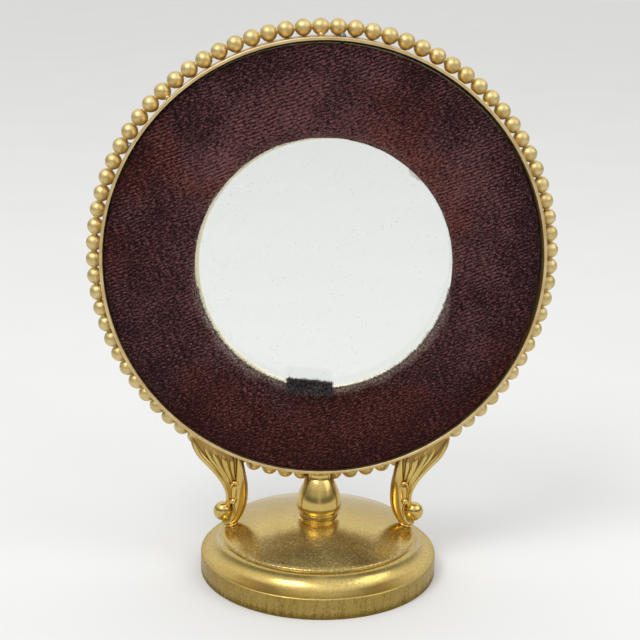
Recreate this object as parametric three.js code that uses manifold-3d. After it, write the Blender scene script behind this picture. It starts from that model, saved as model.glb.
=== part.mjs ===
// A round beaded picture frame on a turned stand. Millimetres, +Z up, the origin under the base's middle.
// The velvet-covered back faces -Y and the enamelled front faces +Y.
import * as THREE from "three";
import { mergeVertices } from "three/addons/utils/BufferGeometryUtils.js";
import Module from "manifold-3d";

const wasm = await Module();
wasm.setup();

const degrees = THREE.MathUtils.degToRad;

// Clearances
const SEAT_GAP = 0.3; // between a piece and what it is shaped to or rests on
const FACE_GAP = 0.05; // between flat metal faces drawn together
const LAYER_GAP = 0.3; // between the layers stacked in the case
const EDGE_GAP = 0.7; // between a layer's edge and the case wall
const BEAD_SEAT_GAP = 0.1; // between the beads and the case wall
const SHANK_GAP = 0.3; // between a shank and its hole

// Case and beads. Depths run forwards from the rim, which is the case's back edge.
const RIM_INNER_RADIUS = 55;
const CASE_WALL = 0.6;
const CASE_DEPTH = 9.8;
const FRONT_LIP_WIDTH = 2.2;
const FRONT_LIP_THICKNESS = 0.6;
const RIM_SETBACK = 3; // the rim lies this far behind the stem's axis
const BEAD_DIAMETER = 4.27;
const BEAD_NECK_RADIUS = 0.7;
const BEAD_PLANE_DEPTH = 7.1;
const FIRST_BEAD_ANGLE = degrees(2.85);

// Layers in the case, from the back to the front
const VELVET_RECESS = 1;
const VELVET_THICKNESS = 1;
const BOARD_THICKNESS = 1.2;
const MAT_THICKNESS = 0.9;
const GLASS_THICKNESS = 1.6;
const ENAMEL_THICKNESS = 1;
const ENAMEL_CROWN = 0.9; // how far the enamel swells forwards between its edges
const ENAMEL_SKIRT_WIDTH = 1.4;
const WINDOW_RADIUS = 32.2;
const WINDOW_DROP = 0.45; // the back's window is cut a little low and to the right of its middle
const WINDOW_SHIFT = 0.2;
const BACK_DROP = 0.3; // the back sits a little low and to the left in the case
const BACK_SHIFT = -0.2;
const MAT_WINDOW_RADIUS = 32.05;
const MAT_WINDOW_DROP = 1.1; // the mat's window is cut lower and further to the right
const MAT_WINDOW_SHIFT = 0.7;
const BOARD_WINDOW_STEP = 0.4; // the board's window is larger than the velvet's by this much
const BOARD_EDGE_INSET = 2.3; // from the velvet's edge, so the board clears the pins
const SIGHT_RADIUS = 36; // of the front window
const BEZEL_SLEEVE = 1.2;
const BEZEL_FLANGE_WIDTH = 3.2;
const BEZEL_FLANGE_THICKNESS = 0.6;
const TAB_LENGTH = 11.6;
const TAB_HEIGHT = 2.8;
const TAB_THICKNESS = 0.8;
const TAB_GAP = 0.1;
const TAB_SHIFT = -3;
const TAB_RISE = 0.6; // of its middle over the window's edge
const TAB_SLOPE = degrees(-4);

// Pins through the case wall, behind the mat
const PIN_ANGLES = [86.5, 149.3, 224.6, 328.4].map(degrees);
const PIN_RADIUS = 0.35;
const PIN_HEAD_RADIUS = 0.85;
const PIN_HEAD_HEIGHT = 0.8;
const PIN_REACH = 2.2; // inside the case wall

// Base
const BASE_RADIUS = 30.9;
const BASE_SIDE_HEIGHT = 5.6;
const BASE_EDGE_ROUND = 0.5;
const BASE_EDGE_BAND = 1.3;
const COVE_STEP = 0.4;
const COVE_WIDTH = 4;
const COVE_HEIGHT = 4.4;
const LIP_RADIUS = 0.45; // of the bead round the dome's edge
const DOME_RISE = 4.1;
const BASE_SHELL = 1.8;
const BOSS_RADIUS = 6.5;

// Stem
const STEM_HEIGHT = 12.5; // from the dome to the case wall
const STEM_SEAT_BAND = 0.3; // of the dome's flat seat, outside the stem's foot
const STEM_FOOT_RADIUS = 5.1;
const STEM_FOOT_HEIGHT = 1.2;
const STEM_NECK_RADIUS = 5;
const BULB_RADIUS = 5.8;
const BULB_HEIGHT = 8.7;
const BULB_TOP_RADIUS = 3.7;
const COLLAR_RADIUS = 3.1;
const STUD_RADIUS = 1.5;
const STUD_DEPTH_IN_STEM = 6;
const WASHER_RADIUS = 4;
const WASHER_THICKNESS = 0.8;
const NUT_RADIUS = 3.4;
const NUT_HEIGHT = 2.2;
const STUD_END = 0.8; // below the nut

// Legs, in the middle of the case's bare wall behind the beads. Each station of a leg has a point on its
// inner and its outer edge: a share of its spread, outwards from its foot, and of its rise from the dome
// to the case.
const LEG_FOOT_INSET = 3; // from the dome's edge
const LEG_TOP_SHIFT = 6.6; // where the rise is measured
const LEG_SPREAD = 11.6; // from the foot's middle to the leaf's tip
const LEG_THICKNESS = 4.2;
const LEG_LEAN = 1.7; // forwards, from the case down to the foot
const LEG_LEAN_STRETCH = [0.35, 0.95]; // shares of the rise, from the top down
const LEG_STATIONS = [
  { inner: [-0.15, -0.05], outer: [0.2, -0.05] },
  { inner: [-0.24, 0.11], outer: [0.16, 0.12] },
  { inner: [-0.36, 0.26], outer: [0.16, 0.28] },
  { inner: [-0.39, 0.38], outer: [0.18, 0.39] },
  { inner: [-0.37, 0.5], outer: [0.25, 0.51] },
  { inner: [-0.32, 0.64], outer: [0.44, 0.65] },
  { inner: [-0.21, 0.77], outer: [0.71, 0.8] },
  { inner: [0, 0.92], outer: [0.95, 0.98] },
  { inner: [0.22, 1.04], outer: [1, 1.11] },
  { inner: [0.4, 1.18], outer: [0.97, 1.24] },
];
const BALL_RADIUS = 2.6;
const BALL_SHIFT = 2.5; // outwards from the foot
const BALL_HEIGHT = 3.6; // over the dome
const LEG_SCREW_SHIFT = -0.7; // from the foot's middle
const LEG_SCREW_RADIUS = 0.6;
const LEG_SCREW_DEPTH = 3.2; // in the leg's foot
const LEG_SCREW_HEAD_RADIUS = 1.3;
const LEG_SCREW_HEAD_HEIGHT = 1;

// Where the round stretches of the profiles start and end, in degrees
const COVE_TURN = [270, 190];
const COVE_INSIDE_TURN = [200, 255];
const LIP_TURN = [0, 120];
const EDGE_TURN = [0, 90];
const CROWN_TURN = [0, 180];
const PIN_HEAD_TURN = [0, 60];

// Facets round a full turn, and rings along a leg
const BASE_FACETS = 48;
const STEM_FACETS = 24;
const LAYER_FACETS = 48;
const SMALL_FACETS = 12;
const BEAD_SIDES = 6;
const CUTTER_SIDES = 16;
const LEG_SIDES = 12;
const LEG_RINGS = 16;

// Worked-out places
const WALL_RADIUS = RIM_INNER_RADIUS + CASE_WALL;
const BEAD_RADIUS = BEAD_DIAMETER / 2;
const BEAD_CIRCLE_RADIUS = WALL_RADIUS + BEAD_SEAT_GAP + BEAD_RADIUS;
const BEAD_COUNT = Math.floor((2 * Math.PI * BEAD_CIRCLE_RADIUS) / BEAD_DIAMETER);
const DOME_RADIUS = BASE_RADIUS - BASE_EDGE_BAND - COVE_WIDTH;
const COVE_TOP = BASE_SIDE_HEIGHT + COVE_STEP + COVE_HEIGHT;
const DOME_EDGE_HEIGHT = COVE_TOP + LIP_RADIUS;
const DOME_TOP = DOME_EDGE_HEIGHT + DOME_RISE;
const CASE_CENTRE_HEIGHT = DOME_TOP + STEM_HEIGHT + WALL_RADIUS;
const LAYER_RADIUS = RIM_INNER_RADIUS - EDGE_GAP;
const BOARD_BACK = VELVET_RECESS + VELVET_THICKNESS + LAYER_GAP;
const MAT_BACK = BOARD_BACK + BOARD_THICKNESS + LAYER_GAP;
const GLASS_BACK = MAT_BACK + MAT_THICKNESS + LAYER_GAP;
const GLASS_FRONT = GLASS_BACK + GLASS_THICKNESS;
const BEZEL_BACK = GLASS_FRONT + LAYER_GAP;
const ENAMEL_FRONT = CASE_DEPTH - FRONT_LIP_THICKNESS - LAYER_GAP;
const ENAMEL_BACK = ENAMEL_FRONT - ENAMEL_THICKNESS;
const ENAMEL_INNER_RADIUS = SIGHT_RADIUS + BEZEL_SLEEVE + SEAT_GAP;
const PIN_DEPTH = MAT_BACK - SEAT_GAP - PIN_RADIUS;
const LEG_PLANE_Y = (BEAD_PLANE_DEPTH - BEAD_RADIUS) / 2 - RIM_SETBACK;
const LEG_FOOT_X = DOME_RADIUS - LEG_FOOT_INSET;
const LEG_FOOT_Y = LEG_PLANE_Y + LEG_LEAN;
const LEG_SCREW_X = LEG_FOOT_X + LEG_SCREW_SHIFT;
const BOSS_FACE = domeHeight(BOSS_RADIUS) - BASE_SHELL;
const STEM_BOTTOM = DOME_TOP + FACE_GAP;
const BULB_BOTTOM = STEM_BOTTOM + STEM_FOOT_HEIGHT;
const BULB_TOP = BULB_BOTTOM + BULB_HEIGHT;
const WASHER_BOTTOM = BOSS_FACE - FACE_GAP - WASHER_THICKNESS;
const NUT_BOTTOM = WASHER_BOTTOM - FACE_GAP - NUT_HEIGHT;

// Finishes
const gilt = new THREE.MeshStandardMaterial({ color: 0xd9ae5a, metalness: 1, roughness: 0.28 });
const satinGilt = new THREE.MeshStandardMaterial({ color: 0xdcb669, metalness: 1, roughness: 0.38 });
const agedGilt = new THREE.MeshStandardMaterial({ color: 0xc7a04a, metalness: 1, roughness: 0.35 });
const velvet = new THREE.MeshStandardMaterial({ color: 0x4a2626, metalness: 0, roughness: 1 });
const blackCloth = new THREE.MeshStandardMaterial({ color: 0x17120f, metalness: 0, roughness: 1 });
const card = new THREE.MeshStandardMaterial({ color: 0xd8cba4, metalness: 0, roughness: 0.9 });
const clearGlass = new THREE.MeshStandardMaterial({ color: 0xf2f6f2, opacity: 0.2, transparent: true });
const enamel = new THREE.MeshStandardMaterial({ color: 0x24508a, metalness: 0, roughness: 0.12 });
const steel = new THREE.MeshStandardMaterial({ color: 0x8f8a86, metalness: 1, roughness: 0.3 });

// A closed geometry as a solid that can be joined and cut.
function solidOf(geometry) {
  const bare = geometry.clone();
  bare.deleteAttribute("normal");
  bare.deleteAttribute("uv");
  const merged = mergeVertices(bare, 1e-4);
  const triVerts = new Uint32Array(merged.index.array);
  const vertProperties = merged.attributes.position.array;
  return new wasm.Manifold(new wasm.Mesh({ numProp: 3, vertProperties, triVerts }));
}

function geometryOf(solid) {
  const mesh = solid.getMesh();
  const geometry = new THREE.BufferGeometry();
  geometry.setAttribute("position", new THREE.BufferAttribute(new Float32Array(mesh.vertProperties), 3));
  geometry.setIndex(new THREE.BufferAttribute(new Uint32Array(mesh.triVerts), 1));
  geometry.computeVertexNormals();
  return geometry;
}

function point(radius, along) {
  return new THREE.Vector2(radius, along);
}

// A closed profile of (radius, along) turned about Y. It runs up its outer side.
function turned(profile, facets) {
  return new THREE.LatheGeometry([...profile, profile[0].clone()], facets);
}

// A profile of (radius, height) that starts and ends on the axis, turned about Z.
function turnedUpright(profile, facets) {
  return new THREE.LatheGeometry(profile, facets).rotateX(Math.PI / 2);
}

function turnedRingUpright(profile, facets) {
  return turned(profile, facets).rotateX(Math.PI / 2);
}

function box(inner, outer, low, high) {
  return [point(inner, low), point(outer, low), point(outer, high), point(inner, high)];
}

function uprightShaft(radius, bottom, top) {
  return turnedUpright(box(0, radius, bottom, top), SMALL_FACETS);
}

// Moves a shape from the case's own frame, whose Y starts at the rim, to the part's frame.
function fromCase(geometry) {
  return geometry.translate(0, -RIM_SETBACK, CASE_CENTRE_HEIGHT);
}

// Points of an arc on a profile, from one angle to another.
function arc(centre, across, up, [from, to], steps) {
  const points = [];
  for (let i = 0; i <= steps; i += 1) {
    const angle = degrees(from + ((to - from) * i) / steps);
    points.push(point(centre.x + across * Math.cos(angle), centre.y + up * Math.sin(angle)));
  }
  return points;
}

// A skin over rings of points, each ring running round the way ahead. It closes on itself or has flat ends.
function skinOver(rings, closed) {
  const sides = rings[0].length;
  const vertices = rings.flat();
  const faces = [];
  const last = closed ? rings.length : rings.length - 1;
  for (let i = 0; i < last; i += 1) {
    for (let j = 0; j < sides; j += 1) {
      const a = i * sides + j;
      const b = i * sides + ((j + 1) % sides);
      const c = ((i + 1) % rings.length) * sides + ((j + 1) % sides);
      const d = ((i + 1) % rings.length) * sides + j;
      faces.push(a, b, d, b, c, d);
    }
  }
  if (!closed) {
    const end = (rings.length - 1) * sides;
    for (let j = 1; j < sides - 1; j += 1) {
      faces.push(0, j + 1, j, end, end + j, end + j + 1);
    }
  }
  const geometry = new THREE.BufferGeometry().setFromPoints(vertices);
  geometry.setIndex(faces);
  geometry.computeVertexNormals();
  return geometry;
}

// The height of the dome's skin at a radius.
function domeHeight(radius) {
  return DOME_TOP - DOME_RISE * (radius / DOME_RADIUS) ** 2;
}

// The height of the base's underside between its flat boss and the dome's edge, where it is a cone.
function underDomeHeight(radius) {
  const edge = DOME_RADIUS - BASE_SHELL;
  const drop = BOSS_FACE - (domeHeight(edge) - BASE_SHELL);
  return BOSS_FACE - (drop * (radius - BOSS_RADIUS)) / (edge - BOSS_RADIUS);
}

// The base's outside from its foot to the dome: a straight side with a rounded edge, a flat band, a small
// step, a hollow cove, a beaded edge, the dome and the stem's flat seat.
function baseOutside() {
  const edgeCentre = point(BASE_RADIUS - BASE_EDGE_ROUND, BASE_SIDE_HEIGHT - BASE_EDGE_ROUND);
  const coveCentre = point(BASE_RADIUS - BASE_EDGE_BAND, COVE_TOP);
  const lipCentre = point(DOME_RADIUS - LIP_RADIUS, DOME_EDGE_HEIGHT - LIP_RADIUS);
  const outside = [point(BASE_RADIUS, 0)];
  outside.push(...arc(edgeCentre, BASE_EDGE_ROUND, BASE_EDGE_ROUND, EDGE_TURN, 2));
  outside.push(point(coveCentre.x, BASE_SIDE_HEIGHT));
  outside.push(...arc(coveCentre, COVE_WIDTH, COVE_HEIGHT, COVE_TURN, 4));
  outside.push(...arc(lipCentre, LIP_RADIUS, LIP_RADIUS, LIP_TURN, 2));
  for (const share of [0.93, 0.65, 0.35]) {
    outside.push(point(DOME_RADIUS * share, domeHeight(DOME_RADIUS * share)));
  }
  outside.push(point(STEM_FOOT_RADIUS + STEM_SEAT_BAND, DOME_TOP));
  return outside;
}

function baseInside() {
  const coveCentre = point(BASE_RADIUS - BASE_EDGE_BAND, COVE_TOP);
  const boreRadius = STUD_RADIUS + SHANK_GAP;
  const edge = DOME_RADIUS - BASE_SHELL;
  const inside = [point(boreRadius, DOME_TOP), point(boreRadius, BOSS_FACE), point(BOSS_RADIUS, BOSS_FACE)];
  inside.push(point(edge, underDomeHeight(edge)));
  inside.push(...arc(coveCentre, COVE_WIDTH + BASE_SHELL, COVE_HEIGHT + BASE_SHELL, COVE_INSIDE_TURN, 2));
  inside.push(point(BASE_RADIUS - BASE_SHELL, BASE_SIDE_HEIGHT - BASE_SHELL));
  inside.push(point(BASE_RADIUS - BASE_SHELL, 0));
  return inside;
}

function basePlinth() {
  let solid = solidOf(turnedRingUpright([...baseOutside(), ...baseInside()], BASE_FACETS));
  for (const side of [-1, 1]) {
    const hole = uprightShaft(LEG_SCREW_RADIUS + SHANK_GAP, 0, DOME_TOP);
    solid = solid.subtract(solidOf(hole.translate(side * LEG_SCREW_X, LEG_FOOT_Y, 0)));
  }
  return geometryOf(solid);
}

// The base and a gap over it, filled, to cut what stands on the dome.
function baseWithGap() {
  const outside = baseOutside().map((p) => point(p.x, p.y + SEAT_GAP));
  const profile = [point(0, 0), ...outside, point(0, DOME_TOP + SEAT_GAP)];
  return solidOf(turnedUpright(profile, BASE_FACETS));
}

// The case and a gap round it, filled, to cut what is joined to its wall.
function caseWithGap() {
  const profile = box(0, WALL_RADIUS + SEAT_GAP, -CASE_DEPTH, 2 * CASE_DEPTH);
  return solidOf(fromCase(new THREE.LatheGeometry(profile, LAYER_FACETS)));
}

// The space that the beads sweep and a gap round it, to keep the legs and the collar off them.
function beadsWithGap() {
  const reach = BEAD_RADIUS + SEAT_GAP;
  const turn = [0, 360 - 360 / CUTTER_SIDES];
  const section = arc(point(BEAD_CIRCLE_RADIUS, BEAD_PLANE_DEPTH), reach, reach, turn, CUTTER_SIDES - 1);
  return solidOf(fromCase(turned(section, LAYER_FACETS)));
}

// Turned acorn: a foot drum, a groove and a bulb that is widest near its bottom, bored from below for its
// stud and filed hollow where the beads pass its shoulder.
function stemBaluster() {
  const boreRadius = STUD_RADIUS + SHANK_GAP;
  const boreTop = STEM_BOTTOM + STUD_DEPTH_IN_STEM;
  const foot = (share, radius) => point(radius, STEM_BOTTOM + STEM_FOOT_HEIGHT * share);
  const bulb = (share, radius) => point(radius, BULB_BOTTOM + BULB_HEIGHT * share);
  const swell = BULB_RADIUS - STEM_NECK_RADIUS;
  const taper = BULB_RADIUS - BULB_TOP_RADIUS;
  const profile = [
    point(0, boreTop),
    point(boreRadius, boreTop),
    point(boreRadius, STEM_BOTTOM),
    foot(0, STEM_FOOT_RADIUS),
    foot(0.85, STEM_FOOT_RADIUS),
    bulb(0, STEM_NECK_RADIUS),
    bulb(0.05, STEM_NECK_RADIUS + swell * 0.65),
    bulb(0.12, STEM_NECK_RADIUS + swell * 0.93),
    bulb(0.2, BULB_RADIUS),
    bulb(0.29, BULB_RADIUS - taper * 0.02),
    bulb(0.44, BULB_RADIUS - taper * 0.09),
    bulb(0.6, BULB_RADIUS - taper * 0.26),
    bulb(0.76, BULB_RADIUS - taper * 0.52),
    bulb(0.88, BULB_RADIUS - taper * 0.74),
    bulb(1, BULB_TOP_RADIUS),
    bulb(1, 0),
  ];
  return geometryOf(solidOf(turnedUpright(profile, STEM_FACETS)).subtract(beadsWithGap()));
}

// The collar rises into the case's wall and is cut to it.
function stemCollar() {
  const blank = turnedUpright(box(0, COLLAR_RADIUS, BULB_TOP + FACE_GAP, CASE_CENTRE_HEIGHT), STEM_FACETS);
  return geometryOf(solidOf(blank).subtract(caseWithGap()).subtract(beadsWithGap()));
}

function stemStud() {
  return uprightShaft(STUD_RADIUS, NUT_BOTTOM - STUD_END, STEM_BOTTOM + STUD_DEPTH_IN_STEM - SHANK_GAP);
}

function studWasher() {
  const top = WASHER_BOTTOM + WASHER_THICKNESS;
  return turnedRingUpright(box(STUD_RADIUS + SHANK_GAP, WASHER_RADIUS, WASHER_BOTTOM, top), 2 * SMALL_FACETS);
}

// A six-sided nut. Its six-sided hole clears the stud across its flats.
function studNut() {
  const holeRadius = (STUD_RADIUS + SHANK_GAP) / Math.cos(Math.PI / 6);
  return turnedRingUpright(box(holeRadius, NUT_RADIUS, NUT_BOTTOM, NUT_BOTTOM + NUT_HEIGHT), 6);
}

// A leg without its ball: oval sections from its inner to its outer edge, each edge a curve through stations
// that leans forwards on its way down.
function legBody(side) {
  const footHeight = domeHeight(LEG_FOOT_X);
  const topX = LEG_FOOT_X + LEG_TOP_SHIFT;
  const rise = CASE_CENTRE_HEIGHT - Math.sqrt(WALL_RADIUS ** 2 - topX ** 2) - footHeight;
  const place = ([out, up]) => {
    const lean = LEG_LEAN * THREE.MathUtils.smoothstep(1 - up, ...LEG_LEAN_STRETCH);
    const outwards = side * (LEG_FOOT_X + LEG_SPREAD * out);
    return new THREE.Vector3(outwards, LEG_PLANE_Y + lean, footHeight + rise * up);
  };
  const innerEdge = new THREE.CatmullRomCurve3(LEG_STATIONS.map((station) => place(station.inner)));
  const outerEdge = new THREE.CatmullRomCurve3(LEG_STATIONS.map((station) => place(station.outer)));
  const rings = [];
  for (let i = 0; i <= LEG_RINGS; i += 1) {
    const inner = innerEdge.getPoint(i / LEG_RINGS);
    const outer = outerEdge.getPoint(i / LEG_RINGS);
    const middle = inner.clone().lerp(outer, 0.5);
    const ring = [];
    for (let j = 0; j < LEG_SIDES; j += 1) {
      const angle = (side * 2 * Math.PI * j) / LEG_SIDES;
      const deep = new THREE.Vector3(0, (LEG_THICKNESS / 2) * Math.sin(angle), 0);
      ring.push(middle.clone().lerp(outer, Math.cos(angle)).add(deep));
    }
    rings.push(ring);
  }
  return solidOf(skinOver(rings, false));
}

// A leg with its ball, cut to the case and the dome, and bored for its screw.
function leg(side) {
  const footHeight = domeHeight(LEG_FOOT_X);
  const ball = new THREE.SphereGeometry(BALL_RADIUS, SMALL_FACETS, SMALL_FACETS / 2 + 2);
  ball.translate(side * (LEG_FOOT_X + BALL_SHIFT), LEG_FOOT_Y, footHeight + BALL_HEIGHT);
  const holeTop = domeHeight(LEG_SCREW_X) + LEG_SCREW_DEPTH + SHANK_GAP;
  const hole = uprightShaft(LEG_SCREW_RADIUS + SHANK_GAP, 0, holeTop);
  hole.translate(side * LEG_SCREW_X, LEG_FOOT_Y, 0);
  const whole = legBody(side).add(solidOf(ball));
  const cut = whole.subtract(caseWithGap()).subtract(beadsWithGap()).subtract(baseWithGap());
  return geometryOf(cut.subtract(solidOf(hole)));
}

function legScrew(side) {
  const headTop = underDomeHeight(LEG_SCREW_X + LEG_SCREW_HEAD_RADIUS) - FACE_GAP;
  const headBottom = headTop - LEG_SCREW_HEAD_HEIGHT;
  const shankTop = domeHeight(LEG_SCREW_X) + LEG_SCREW_DEPTH;
  const profile = [
    point(0, headBottom),
    point(LEG_SCREW_HEAD_RADIUS, headBottom),
    point(LEG_SCREW_HEAD_RADIUS, headTop),
    point(LEG_SCREW_RADIUS, headTop),
    point(LEG_SCREW_RADIUS, shankTop),
    point(0, shankTop),
  ];
  return turnedUpright(profile, SMALL_FACETS).translate(side * LEG_SCREW_X, LEG_FOOT_Y, 0);
}

// A shaft along X, for the pins and their holes.
function radialShaft(profile) {
  return new THREE.LatheGeometry(profile, SMALL_FACETS).rotateZ(-Math.PI / 2);
}

// Thin wall with a lip turned in at the front, bored for the pins.
function caseRing() {
  const lipRadius = RIM_INNER_RADIUS - FRONT_LIP_WIDTH;
  const lipBack = CASE_DEPTH - FRONT_LIP_THICKNESS;
  const profile = [
    point(RIM_INNER_RADIUS, 0),
    point(WALL_RADIUS, 0),
    point(WALL_RADIUS, CASE_DEPTH),
    point(lipRadius, CASE_DEPTH),
    point(lipRadius, lipBack),
    point(RIM_INNER_RADIUS, lipBack),
  ];
  let solid = solidOf(turned(profile, BEAD_COUNT));
  for (const angle of PIN_ANGLES) {
    const bore = box(0, PIN_RADIUS + SHANK_GAP, RIM_INNER_RADIUS - PIN_REACH, WALL_RADIUS + PIN_REACH);
    const hole = radialShaft(bore).translate(0, PIN_DEPTH, 0).rotateY(-angle);
    solid = solid.subtract(solidOf(hole));
  }
  return geometryOf(solid);
}

// Beads joined by short necks. Each bead has three rings of points and each neck one.
function beadRing() {
  const pitch = (2 * Math.PI) / BEAD_COUNT;
  const side = degrees(40);
  const steps = [
    { along: -pitch / 2, radius: BEAD_NECK_RADIUS },
    { along: (-BEAD_RADIUS * Math.sin(side)) / BEAD_CIRCLE_RADIUS, radius: BEAD_RADIUS * Math.cos(side) },
    { along: 0, radius: BEAD_RADIUS },
    { along: (BEAD_RADIUS * Math.sin(side)) / BEAD_CIRCLE_RADIUS, radius: BEAD_RADIUS * Math.cos(side) },
  ];
  const rings = [];
  for (let bead = 0; bead < BEAD_COUNT; bead += 1) {
    for (const step of steps) {
      const angle = FIRST_BEAD_ANGLE + bead * pitch + step.along;
      const ring = [];
      for (let j = 0; j < BEAD_SIDES; j += 1) {
        const turn = (2 * Math.PI * j) / BEAD_SIDES;
        const out = BEAD_CIRCLE_RADIUS + step.radius * Math.cos(turn);
        const depth = BEAD_PLANE_DEPTH + step.radius * Math.sin(turn);
        ring.push(new THREE.Vector3(out * Math.cos(angle), depth, out * Math.sin(angle)));
      }
      rings.push(ring);
    }
  }
  return skinOver(rings, true);
}

// Ring with a swelling front and a skirt behind its outer edge that bears on the glass.
function enamelRing() {
  const skirtRadius = LAYER_RADIUS - ENAMEL_SKIRT_WIDTH;
  const crownOuter = RIM_INNER_RADIUS - FRONT_LIP_WIDTH - SEAT_GAP;
  const crownInner = SIGHT_RADIUS + BEZEL_FLANGE_WIDTH + SEAT_GAP;
  const crownMiddle = point((crownOuter + crownInner) / 2, ENAMEL_FRONT);
  const profile = [
    point(ENAMEL_INNER_RADIUS, ENAMEL_BACK),
    point(skirtRadius, ENAMEL_BACK),
    point(skirtRadius, BEZEL_BACK),
    point(LAYER_RADIUS, BEZEL_BACK),
    point(LAYER_RADIUS, ENAMEL_FRONT),
    ...arc(crownMiddle, (crownOuter - crownInner) / 2, ENAMEL_CROWN, CROWN_TURN, 5),
    point(ENAMEL_INNER_RADIUS, ENAMEL_FRONT),
  ];
  return turned(profile, LAYER_FACETS);
}

// Sleeve through the enamel ring with a flange over its inner edge.
function innerBezel() {
  const flangeBack = ENAMEL_FRONT + LAYER_GAP;
  const flangeFront = flangeBack + BEZEL_FLANGE_THICKNESS;
  const profile = [
    point(SIGHT_RADIUS, BEZEL_BACK),
    point(SIGHT_RADIUS + BEZEL_SLEEVE, BEZEL_BACK),
    point(SIGHT_RADIUS + BEZEL_SLEEVE, flangeBack),
    point(SIGHT_RADIUS + BEZEL_FLANGE_WIDTH, flangeBack),
    point(SIGHT_RADIUS + BEZEL_FLANGE_WIDTH, flangeFront),
    point(SIGHT_RADIUS, flangeFront),
  ];
  return turned(profile, LAYER_FACETS);
}

function glassDisc() {
  return new THREE.LatheGeometry(box(0, LAYER_RADIUS, GLASS_BACK, GLASS_FRONT), LAYER_FACETS);
}

// A flat ring whose window is cut off its middle.
function layerRing(window, outerRadius, back, thickness) {
  const rings = [];
  for (let i = 0; i < LAYER_FACETS; i += 1) {
    const angle = (2 * Math.PI * i) / LAYER_FACETS;
    const spoke = new THREE.Vector3(Math.cos(angle), 0, Math.sin(angle));
    const inner = spoke.clone().multiplyScalar(window.radius);
    inner.add(new THREE.Vector3(window.shift, back, -window.drop));
    const outer = spoke.clone().multiplyScalar(outerRadius).setY(back);
    const through = new THREE.Vector3(0, thickness, 0);
    rings.push([inner, outer, outer.clone().add(through), inner.clone().add(through)]);
  }
  return skinOver(rings, true);
}

function matRing() {
  const window = { radius: MAT_WINDOW_RADIUS, shift: MAT_WINDOW_SHIFT, drop: MAT_WINDOW_DROP };
  return layerRing(window, LAYER_RADIUS, MAT_BACK, MAT_THICKNESS);
}

function backingBoard() {
  const window = { radius: WINDOW_RADIUS + BOARD_WINDOW_STEP, shift: WINDOW_SHIFT, drop: WINDOW_DROP };
  return layerRing(window, LAYER_RADIUS - BOARD_EDGE_INSET, BOARD_BACK, BOARD_THICKNESS);
}

function velvetCover() {
  const window = { radius: WINDOW_RADIUS, shift: WINDOW_SHIFT, drop: WINDOW_DROP };
  return layerRing(window, LAYER_RADIUS, VELVET_RECESS, VELVET_THICKNESS);
}

// A short strip of cloth with round ends, across the bottom of the window and over the velvet's edge.
function velvetTab() {
  const end = TAB_HEIGHT / 2;
  const straight = TAB_LENGTH / 2 - end;
  const outline = new THREE.Shape();
  outline.absarc(straight, 0, end, -Math.PI / 2, Math.PI / 2);
  outline.absarc(-straight, 0, end, Math.PI / 2, (3 * Math.PI) / 2);
  const cut = { depth: TAB_THICKNESS, bevelEnabled: false, curveSegments: 5 };
  const strip = new THREE.ExtrudeGeometry(outline, cut);
  strip.rotateZ(TAB_SLOPE).rotateX(Math.PI / 2);
  const edge = -WINDOW_DROP - Math.sqrt(WINDOW_RADIUS ** 2 - (TAB_SHIFT - WINDOW_SHIFT) ** 2);
  return strip.translate(TAB_SHIFT, VELVET_RECESS - TAB_GAP, edge + TAB_RISE);
}

// Round-headed pin along X, its head outside the case wall.
function casePin() {
  const headBottom = WALL_RADIUS + SEAT_GAP;
  const profile = [
    point(0, RIM_INNER_RADIUS - PIN_REACH),
    point(PIN_RADIUS, RIM_INNER_RADIUS - PIN_REACH),
    point(PIN_RADIUS, headBottom),
    ...arc(point(0, headBottom), PIN_HEAD_RADIUS, PIN_HEAD_HEIGHT, PIN_HEAD_TURN, 2),
    point(0, headBottom + PIN_HEAD_HEIGHT),
  ];
  return radialShaft(profile);
}

function piece(name, geometry, material) {
  const mesh = new THREE.Mesh(geometry, material);
  mesh.name = name;
  return mesh;
}

// The stand: base, stem and legs with their fasteners
const stand = new THREE.Group();
stand.add(piece("base_plinth", basePlinth(), agedGilt));
stand.add(piece("stem_baluster", stemBaluster(), gilt));
stand.add(piece("stem_collar", stemCollar(), gilt));
stand.add(piece("stem_stud", stemStud(), steel));
stand.add(piece("stud_washer", studWasher(), steel));
stand.add(piece("stud_nut", studNut(), steel));
for (const [name, side] of [["left", -1], ["right", 1]]) {
  stand.add(piece(`${name}_leg`, leg(side), gilt));
  stand.add(piece(`${name}_leg_screw`, legScrew(side), steel));
}

// The case with its beads, front, glass, mat and pins
const frameCase = new THREE.Group();
frameCase.position.set(0, -RIM_SETBACK, CASE_CENTRE_HEIGHT);
frameCase.add(piece("case_ring", caseRing(), gilt));
frameCase.add(piece("bead_ring", beadRing(), satinGilt));
frameCase.add(piece("enamel_ring", enamelRing(), enamel));
frameCase.add(piece("inner_bezel", innerBezel(), gilt));
frameCase.add(piece("glass_disc", glassDisc(), clearGlass));
frameCase.add(piece("mat_ring", matRing(), card));
PIN_ANGLES.forEach((angle, i) => {
  const pin = piece(`case_pin_${i + 1}`, casePin(), steel);
  pin.position.y = PIN_DEPTH;
  pin.rotation.y = -angle;
  frameCase.add(pin);
});

// The back that pulls out of the case
const back = new THREE.Group();
back.position.set(BACK_SHIFT, 0, -BACK_DROP);
back.add(piece("backing_board", backingBoard(), card));
back.add(piece("velvet_cover", velvetCover(), velvet));
back.add(piece("velvet_tab", velvetTab(), blackCloth));
frameCase.add(back);

const frame = new THREE.Group();
frame.add(stand, frameCase);

export default frame;
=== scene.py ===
"""The looks of a round beaded picture frame on a turned stand, seen from its velvet back. Metres, +Z up."""
import math

import bpy
import numpy as np
from mathutils import Matrix, Vector


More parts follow.
